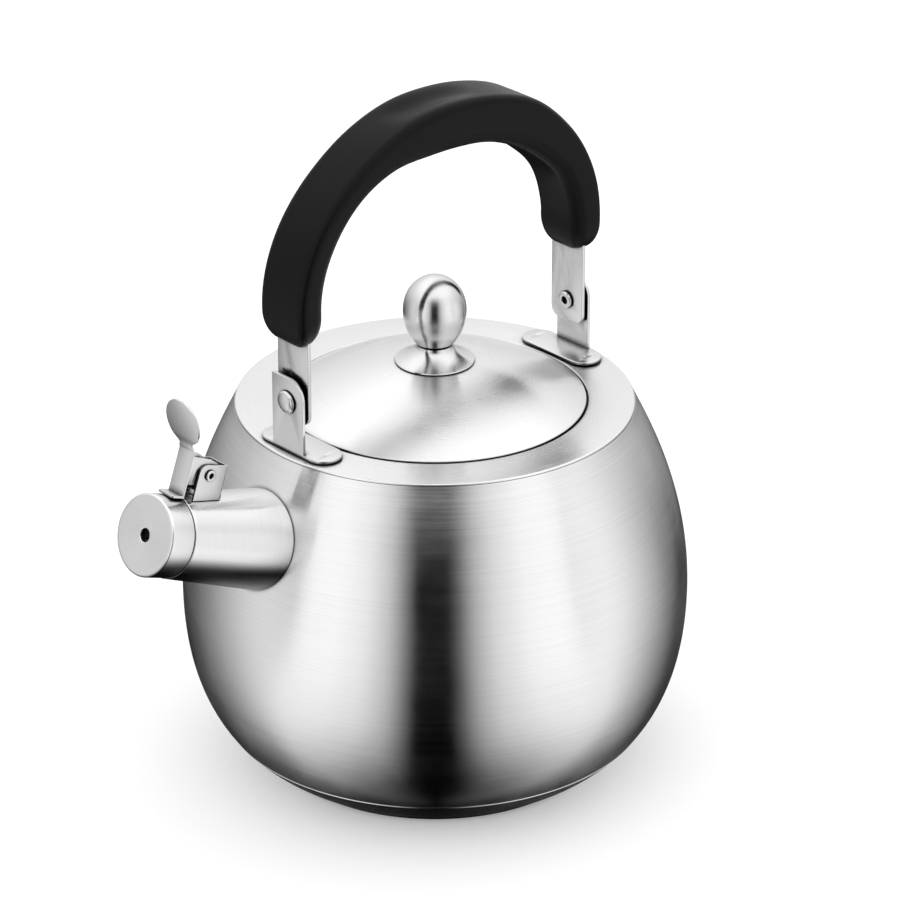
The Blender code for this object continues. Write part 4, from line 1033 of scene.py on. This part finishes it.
class KETTLE_OT_brackets(KettlePiece, bpy.types.Operator):
    """Presses the two handle brackets, with the bend and the welds of their feet"""
    bl_idname = "kettle.brackets"
    bl_label = "Handle brackets"

    def make(self):
        size = sizes("handle")
        look = finish("satin_sheet_steel")
        low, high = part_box("handle_bracket_rear")
        thick = 0.0013
        foot_thick = 0.0012
        half = size.bracket_width / 2
        radius = size.foot_depth / 2
        reach = size.foot_length / 2 - radius
        soft = 0.0002
        for side in (-1, 1):
            edge = rounded([
                (0.0, low.z), (half, low.z), (half, high.z, 0.0006), (-half, high.z, size.bracket_round),
                (-half, low.z), (-0.001, low.z)], 12)
            leg = plate("bracket_" + side_name(side), [edge, drilled((0.0, HANDLE_Z), RIVET_HOLE, 30)], thick,
                        look, soft, standing(side * (BRACKET_X - thick if side > 0 else BRACKET_X)))
            middle = side * (BRACKET_X - radius)
            ends = arc((middle, reach), radius, 0.0, 180.0, 24)
            ends += arc((middle, -reach), radius, 180.0, 360.0, 24)
            foot = plate("foot", [ends], foot_thick, look, 0.0003, lifted(low.z))
            bend = 0.0018
            inner = BRACKET_X - thick + soft
            floor = low.z + foot_thick - soft
            cove = [(side * inner, floor), (side * inner, floor + bend)]
            cove += [(side * (inner - bend + bend * math.cos(angle)), floor + bend - bend * math.sin(angle))
                     for angle in quarter(8)[1:]]
            lying = axes((0.0, 0.0, 0.0), (1.0, 0.0, 0.0), (0.0, 0.0, 1.0), (0.0, -1.0, 0.0))
            fillet = plate("cove", [cove], size.bracket_width - 2 * soft, look, 0.00001,
                           lying @ lifted(soft - half))
            bracket = worked(leg, "UNION", foot, fillet)
            marks = self.weld_marks(middle, size.foot_length / 2 - 0.0052, low.z + foot_thick)
            bracket = worked(bracket, "DIFFERENCE", marks)
            placed(bracket, "kettle", "satin_steel", "handle_bracket_" + side_name(side))

    def weld_marks(self, middle, reach, top):
        """The dimples that the welds leave, one near each end of a foot."""
        ball = bmesh.new()
        bmesh.ops.create_icosphere(ball, subdivisions=3, radius=0.0026)
        mesh = bpy.data.meshes.new("weld_mark")
        ball.to_mesh(mesh)
        ball.free()
        mark = linked("weld_mark", mesh)
        layout = bpy.data.meshes.new("weld_layout")
        layout.from_pydata([(middle, side * reach, top + 0.00235) for side in (-1, 1)], [], [])
        marks = grown("weld_marks", linked("weld_layout", layout), "Copies on points", {"Shape": mark},
                      finish("satin_sheet_steel"))
        bpy.data.objects.remove(mark, do_unlink=True)
        return marks


class KETTLE_OT_straps(KettlePiece, bpy.types.Operator):
    """Presses the straps and turns the tubular rivets and washers at both ends of the handle"""
    bl_idname = "kettle.straps"
    bl_label = "Straps and rivets"

    def make(self):
        low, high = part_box("handle_strap_rear")
        thick = high.x - low.x
        half = high.y
        seat = BRACKET_X + GAP
        roll = STRAP_INNER_X - GAP
        near = STRAP_OUTER_X + GAP
        far = near + 0.0010
        bore = 0.0015
        shank = 0.0021
        head = 0.0043
        curl = roll - 0.0011
        edge = rounded([(0.0, low.z), (half, low.z, 0.0045), (half, high.z, 0.0020), (-half, high.z, 0.0020),
                        (-half, low.z, 0.0045), (-0.001, low.z)], 10)
        outline = [(0.0, roll + 0.0030), (bore, roll + 0.0030)]
        outline += rounded([(bore, roll), (bore, curl, 0.0004), (0.0033, curl, 0.0008),
                            (0.0033, roll, 0.0003), (shank, roll)], 5)
        outline += [(shank, seat), (head - 0.0002, seat), (head, seat + 0.0002)]
        outline += [(head * math.cos(angle), seat + 0.0003 + 0.0015 * math.sin(angle))
                    for angle in quarter(14)[:-1]]
        outline.append((0.0, seat + 0.0018))
        ring = rounded([(0.0040, near), (0.0060, near, 0.0002), (0.0060, far, 0.0002),
                        (RIVET_HOLE, far, 0.0002), (RIVET_HOLE, near, 0.0002), (0.0038, near)], 3)
        for side in (-1, 1):
            end = side_name(side)
            strap = plate("strap_" + end, [edge, drilled((0.0, HANDLE_Z), RIVET_HOLE, 30)], thick,
                          finish("satin_sheet_steel"), 0.00025, standing(low.x if side > 0 else -high.x))
            placed(strap, "handle", "satin_steel", "handle_strap_" + end)
            outwards = axes((0.0, 0.0, HANDLE_Z), (0.0, side, 0.0), (0.0, 0.0, 1.0), (side, 0.0, 0.0))
            rivet = turned("rivet_" + end, outline, finish("polished_rivet_steel"), 56, outwards)
            placed(rivet, "kettle", "polished_steel", "handle_rivet_" + end)
            washer = turned("washer_" + end, ring, finish("fibre_board"), 48, outwards)
            placed(washer, "kettle", "washer_fibre", "handle_washer_" + end)


GRIP_STATIONS = (             # angle round the arch (180 is the spout side), swell, thickness
    (180.0, 0.0000, 0.0121), (155.0, -0.0007, 0.0116), (132.0, -0.0010, 0.0114), (116.0, -0.0003, 0.0138),
    (100.0, 0.0004, 0.0178), (86.0, 0.0004, 0.0186), (72.0, 0.0010, 0.0186), (58.0, 0.0018, 0.0190),
    (42.0, 0.0008, 0.0172), (24.0, 0.0002, 0.0144), (8.0, 0.0000, 0.0134), (0.0, 0.0000, 0.0128),
)


def between(table, key):
    """Smooth values between the rows of a table, read as a curve through its first column."""
    rows = sorted(table)
    place = max(index for index, row in enumerate(rows[:-1]) if row[0] <= key)
    before, low, high, after = (rows[min(max(place + step, 0), len(rows) - 1)] for step in (-1, 0, 1, 2))
    span = high[0] - low[0]
    part = (key - low[0]) / span
    found = []
    for column in range(1, len(low)):
        leave = (high[column] - before[column]) / (high[0] - before[0]) * span
        arrive = (after[column] - low[column]) / (after[0] - low[0]) * span
        rise = high[column] - low[column]
        bend = part * (1.0 - part) * ((leave - rise) * (1.0 - part) - (arrive - rise) * part)
        found.append(low[column] + rise * part + bend)
    return found


class KETTLE_OT_grip(KettlePiece, bpy.types.Operator):
    """Lofts the moulded grip, with its thumb rest and the sockets of its straps"""
    bl_idname = "kettle.grip"
    bl_label = "Grip"

    def make(self):
        size = sizes("handle")
        look = finish("black_grip_moulding")
        leg = HANDLE_Z + size.arch_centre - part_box("handle_grip")[0].z
        ends = [(leg - 0.0110 * (1 - math.sin(angle)), 1 - math.cos(angle)) for angle in quarter(10)[::-1]]
        rings = [self.ring(180.0, drop, shrink) for drop, shrink in ends]
        rings += [self.ring(180.0 * (1.0 - step / 110), 0.0, 0.0) for step in range(111)]
        rings += [self.ring(0.0, drop, shrink) for drop, shrink in reversed(ends)]
        grip = loft("grip", rings, look)
        low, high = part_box("handle_strap_rear")
        sockets = []
        for side in (-1, 1):
            near, far = sorted((side * (low.x - GAP), side * (high.x + GAP)))
            loop = oblong(near, far, high.y + GAP)
            sockets.append(plate("socket", [loop], high.z + GAP - low.z, look, 0.0001, lifted(low.z)))
        placed(worked(grip, "DIFFERENCE", *sockets), "handle", "black_moulding", "handle_grip")

    def ring(self, degrees, drop, shrink):
        """One ring of the grip's section, a rounded block that narrows towards the fingers."""
        size = sizes("handle")
        swell, thickness = between(GRIP_STATIONS, degrees)
        angle = math.radians(degrees)
        span = STRAP_OUTER_X + 0.0056
        arch = Vector((span * math.cos(angle), size.arch_rise * math.sin(angle)))
        inward = -Vector((math.cos(angle) / span, math.sin(angle) / size.arch_rise)).normalized()
        outer = arch - inward * swell - Vector((0.0, drop))
        hollow = size.thumb_depth * math.exp(-((degrees - 93.0) / 13.0) ** 4)
        wide = size.grip_width / 2
        narrow = size.grip_inner_width / 2
        section = rounded([
            (0.0, 0.0), (wide + 0.0004, 0.0001, 0.0032), (narrow + 0.0022, thickness * 0.66, 0.0050),
            (narrow, thickness, 0.0042), (0.0, thickness)], 8)
        first = section[1]
        flat = [(first[0] * step / 8, first[1] * step / 8) for step in range(8)]
        section = [(across, depth + hollow * max(1.0 - (across / 0.0085) ** 2, 0.0) ** 2
                    if depth < 0.0004 else depth) for across, depth in flat + section[1:]]
        section += [(-across, depth) for across, depth in section[-2:0:-1]]
        middle = thickness / 2
        slim = 1.0 - shrink * 0.0075 / wide
        thin = 1.0 - shrink * 0.0050 / middle
        centre = Vector((0.0, HANDLE_Z + size.arch_centre))
        ring = []
        for across, depth in section:
            point = centre + outer + inward * (middle + (depth - middle) * thin)
            ring.append((point.x, across * slim, point.y))
        return ring


# ---------------------------------------------------------------- stage
STUDIO_RING = (               # degrees round from the camera, brightness of the studio there
    (-180, 0.01), (-156, 0.02), (-140, 0.07), (-120, 0.24), (-92, 0.62), (-68, 0.96), (-50, 0.98),
    (-34, 0.84), (-22, 0.54), (-14, 0.18), (-9, 0.0), (7, 0.0), (12, 0.09), (20, 0.42), (30, 0.70),
    (48, 0.95), (64, 1.0), (84, 0.92), (106, 0.56), (124, 0.26), (144, 0.04), (180, 0.01),
)
STUDIO_FALL = ((-1.0, 0.06), (-0.96, 0.11), (-0.86, 0.42), (-0.65, 0.86), (-0.4, 1.0), (1.0, 1.0))
STUDIO_HIGH = ((-1.0, 0.6), (0.0, 0.62), (0.25, 0.74), (0.45, 0.86), (0.75, 1.12), (1.0, 1.15))


class KETTLE_OT_stage(KettlePiece, bpy.types.Operator):
    """Sets up the pale floor, the soft studio light and the camera"""
    bl_idname = "kettle.stage"
    bl_label = "Stage"

    def make(self):
        size = sizes("stage")
        mesh = bpy.data.meshes.new("floor")
        reach = 6.0
        mesh.from_pydata([(x, y, -HAIRLINE) for x, y in oblong(-reach, reach, reach)], [], [(0, 1, 2, 3)])
        floor = linked("floor", mesh)
        floor.visible_glossy = False
        look = bpy.data.materials.new("pale_floor")
        *_, join, shader = wired(look)
        join(shader, [
            ("Base Color", (*sizes("colours").floor, 1.0)), ("Roughness", 0.8), ("Specular IOR Level", 0.0),
            ("Emission Color", (1.0, 1.0, 1.0, 1.0)), ("Emission Strength", 0.25)])
        mesh.materials.append(look)
        self.studio(size)
        self.camera(size)
        bpy.context.scene.view_settings.view_transform = "Standard"

    def studio(self, size):
        """White walls either side of the kettle, dark behind the camera and low behind the kettle."""
        world = bpy.data.worlds.new("studio")
        bpy.context.scene.world = world
        world.use_nodes = True
        world.node_tree.nodes.clear()
        add, sums, _ = node_kit(world.node_tree)

        def ramp(value, stops, low, high):
            node = add("ShaderNodeValToRGB", [("Fac", spread(add, value, 0.0, 1.0, low, high))])
            colours = node.color_ramp
            colours.interpolation = "LINEAR"
            for index, (place, grey) in enumerate(stops):
                position = (place - low) / (high - low)
                stop = colours.elements[index] if index < 2 else colours.elements.new(position)
                stop.position = position
                stop.color = (grey, grey, grey, 1.0)
            return node.outputs["Color"]

        heading = add("ShaderNodeTexCoord").outputs["Generated"]
        facing = add("ShaderNodeVectorRotate", [
            ("Vector", heading), ("Angle", math.pi / 2 - size.azimuth)], rotation_type="Z_AXIS").outputs[0]
        parts = add("ShaderNodeSeparateXYZ", [(0, facing)]).outputs
        aside, ahead, height = parts["Y"], parts["X"], parts["Z"]
        level = sums("SQRT", sums("MAXIMUM", sums("SUBTRACT", 0.79, sums("MULTIPLY", aside, aside)), 0.0))
        front = spread(add, ahead, 0.0, 1.0, -0.25, 0.45, interpolation_type="SMOOTHSTEP")
        straight = sums("MULTIPLY_ADD", sums("SUBTRACT", level, ahead), front, ahead)
        degrees = sums("MULTIPLY", sums("ARCTAN2", aside, straight), 180 / math.pi)
        ring = ramp(degrees, STUDIO_RING, -180, 180)
        low = blended(add, 1.0, ring, ramp(height, STUDIO_FALL, -1, 1), "MULTIPLY")
        leaning = sums("MULTIPLY_ADD", ahead, -0.5, height)
        rise = spread(add, leaning, 0.0, 1.0, 0.0, 0.5, interpolation_type="SMOOTHSTEP")
        walls = blended(add, rise, low, ramp(height, STUDIO_HIGH, -1, 1))
        light = add("ShaderNodeBackground", [("Color", walls), ("Strength", size.light)]).outputs[0]
        plain = add("ShaderNodeBackground", [("Color", (1.0, 1.0, 1.0, 1.0)), ("Strength", 1.0)]).outputs[0]
        seen = add("ShaderNodeLightPath").outputs["Is Camera Ray"]
        chosen = add("ShaderNodeMixShader", [(0, seen), (1, light), (2, plain)])
        add("ShaderNodeOutputWorld", [("Surface", chosen.outputs[0])])

    def camera(self, size):
        """The camera looks at the aim from the azimuth and the elevation."""
        turned_by, tilt = size.azimuth, size.elevation
        level = Vector((math.sin(turned_by), -math.cos(turned_by), 0.0)) * math.cos(tilt)
        back = level + Vector((0.0, 0.0, math.sin(tilt)))
        right = Vector((math.cos(turned_by), math.sin(turned_by), 0.0))
        data = bpy.data.cameras.new("camera")
        data.lens = size.lens
        camera = linked("camera", data)
        aim = Vector((0.0, 0.0, size.aim_z)) + right * size.aim_side
        camera.matrix_world = axes(aim + back * size.distance, right, back.cross(right), back)
        bpy.context.scene.camera = camera


# ---------------------------------------------------------------- panel and registration
OPERATORS = (
    KETTLE_OT_body, KETTLE_OT_deck, KETTLE_OT_base, KETTLE_OT_lid, KETTLE_OT_knob, KETTLE_OT_spout,
    KETTLE_OT_whistle, KETTLE_OT_lever, KETTLE_OT_hinge, KETTLE_OT_brackets, KETTLE_OT_straps, KETTLE_OT_grip,
    KETTLE_OT_stage,
)
GROUPS = {
    "body": KettleBodySizes, "spout": KettleSpoutSizes, "handle": KettleHandleSizes,
    "colours": KettleColours, "stage": KettleStageSizes,
}


class KETTLE_PT_panel(bpy.types.Panel):
    """Lists the kettle's pieces, sizes and colours"""
    bl_label = "Whistling kettle"
    bl_idname = "KETTLE_PT_panel"
    bl_space_type = "VIEW_3D"
    bl_region_type = "UI"
    bl_category = "Kettle"

    def draw(self, context):
        for operator in OPERATORS:
            self.layout.operator(operator.bl_idname)
        for group in GROUPS:
            box = self.layout.box()
            box.label(text=group.capitalize())
            for name in GROUPS[group].__annotations__:
                box.prop(sizes(group), name)


def register():
    for group, kind in GROUPS.items():
        bpy.utils.register_class(kind)
        setattr(bpy.types.Scene, "kettle_" + group, PointerProperty(type=kind))
    for kind in (*OPERATORS, KETTLE_PT_panel):
        bpy.utils.register_class(kind)


def unregister():
    for kind in reversed((*OPERATORS, KETTLE_PT_panel)):
        bpy.utils.unregister_class(kind)
    for group, kind in GROUPS.items():
        delattr(bpy.types.Scene, "kettle_" + group)
        bpy.utils.unregister_class(kind)


def main():
    register()
    for operator in OPERATORS:
        getattr(bpy.ops.kettle, operator.bl_idname.split(".")[1])()


if __name__ == "__main__":
    main()
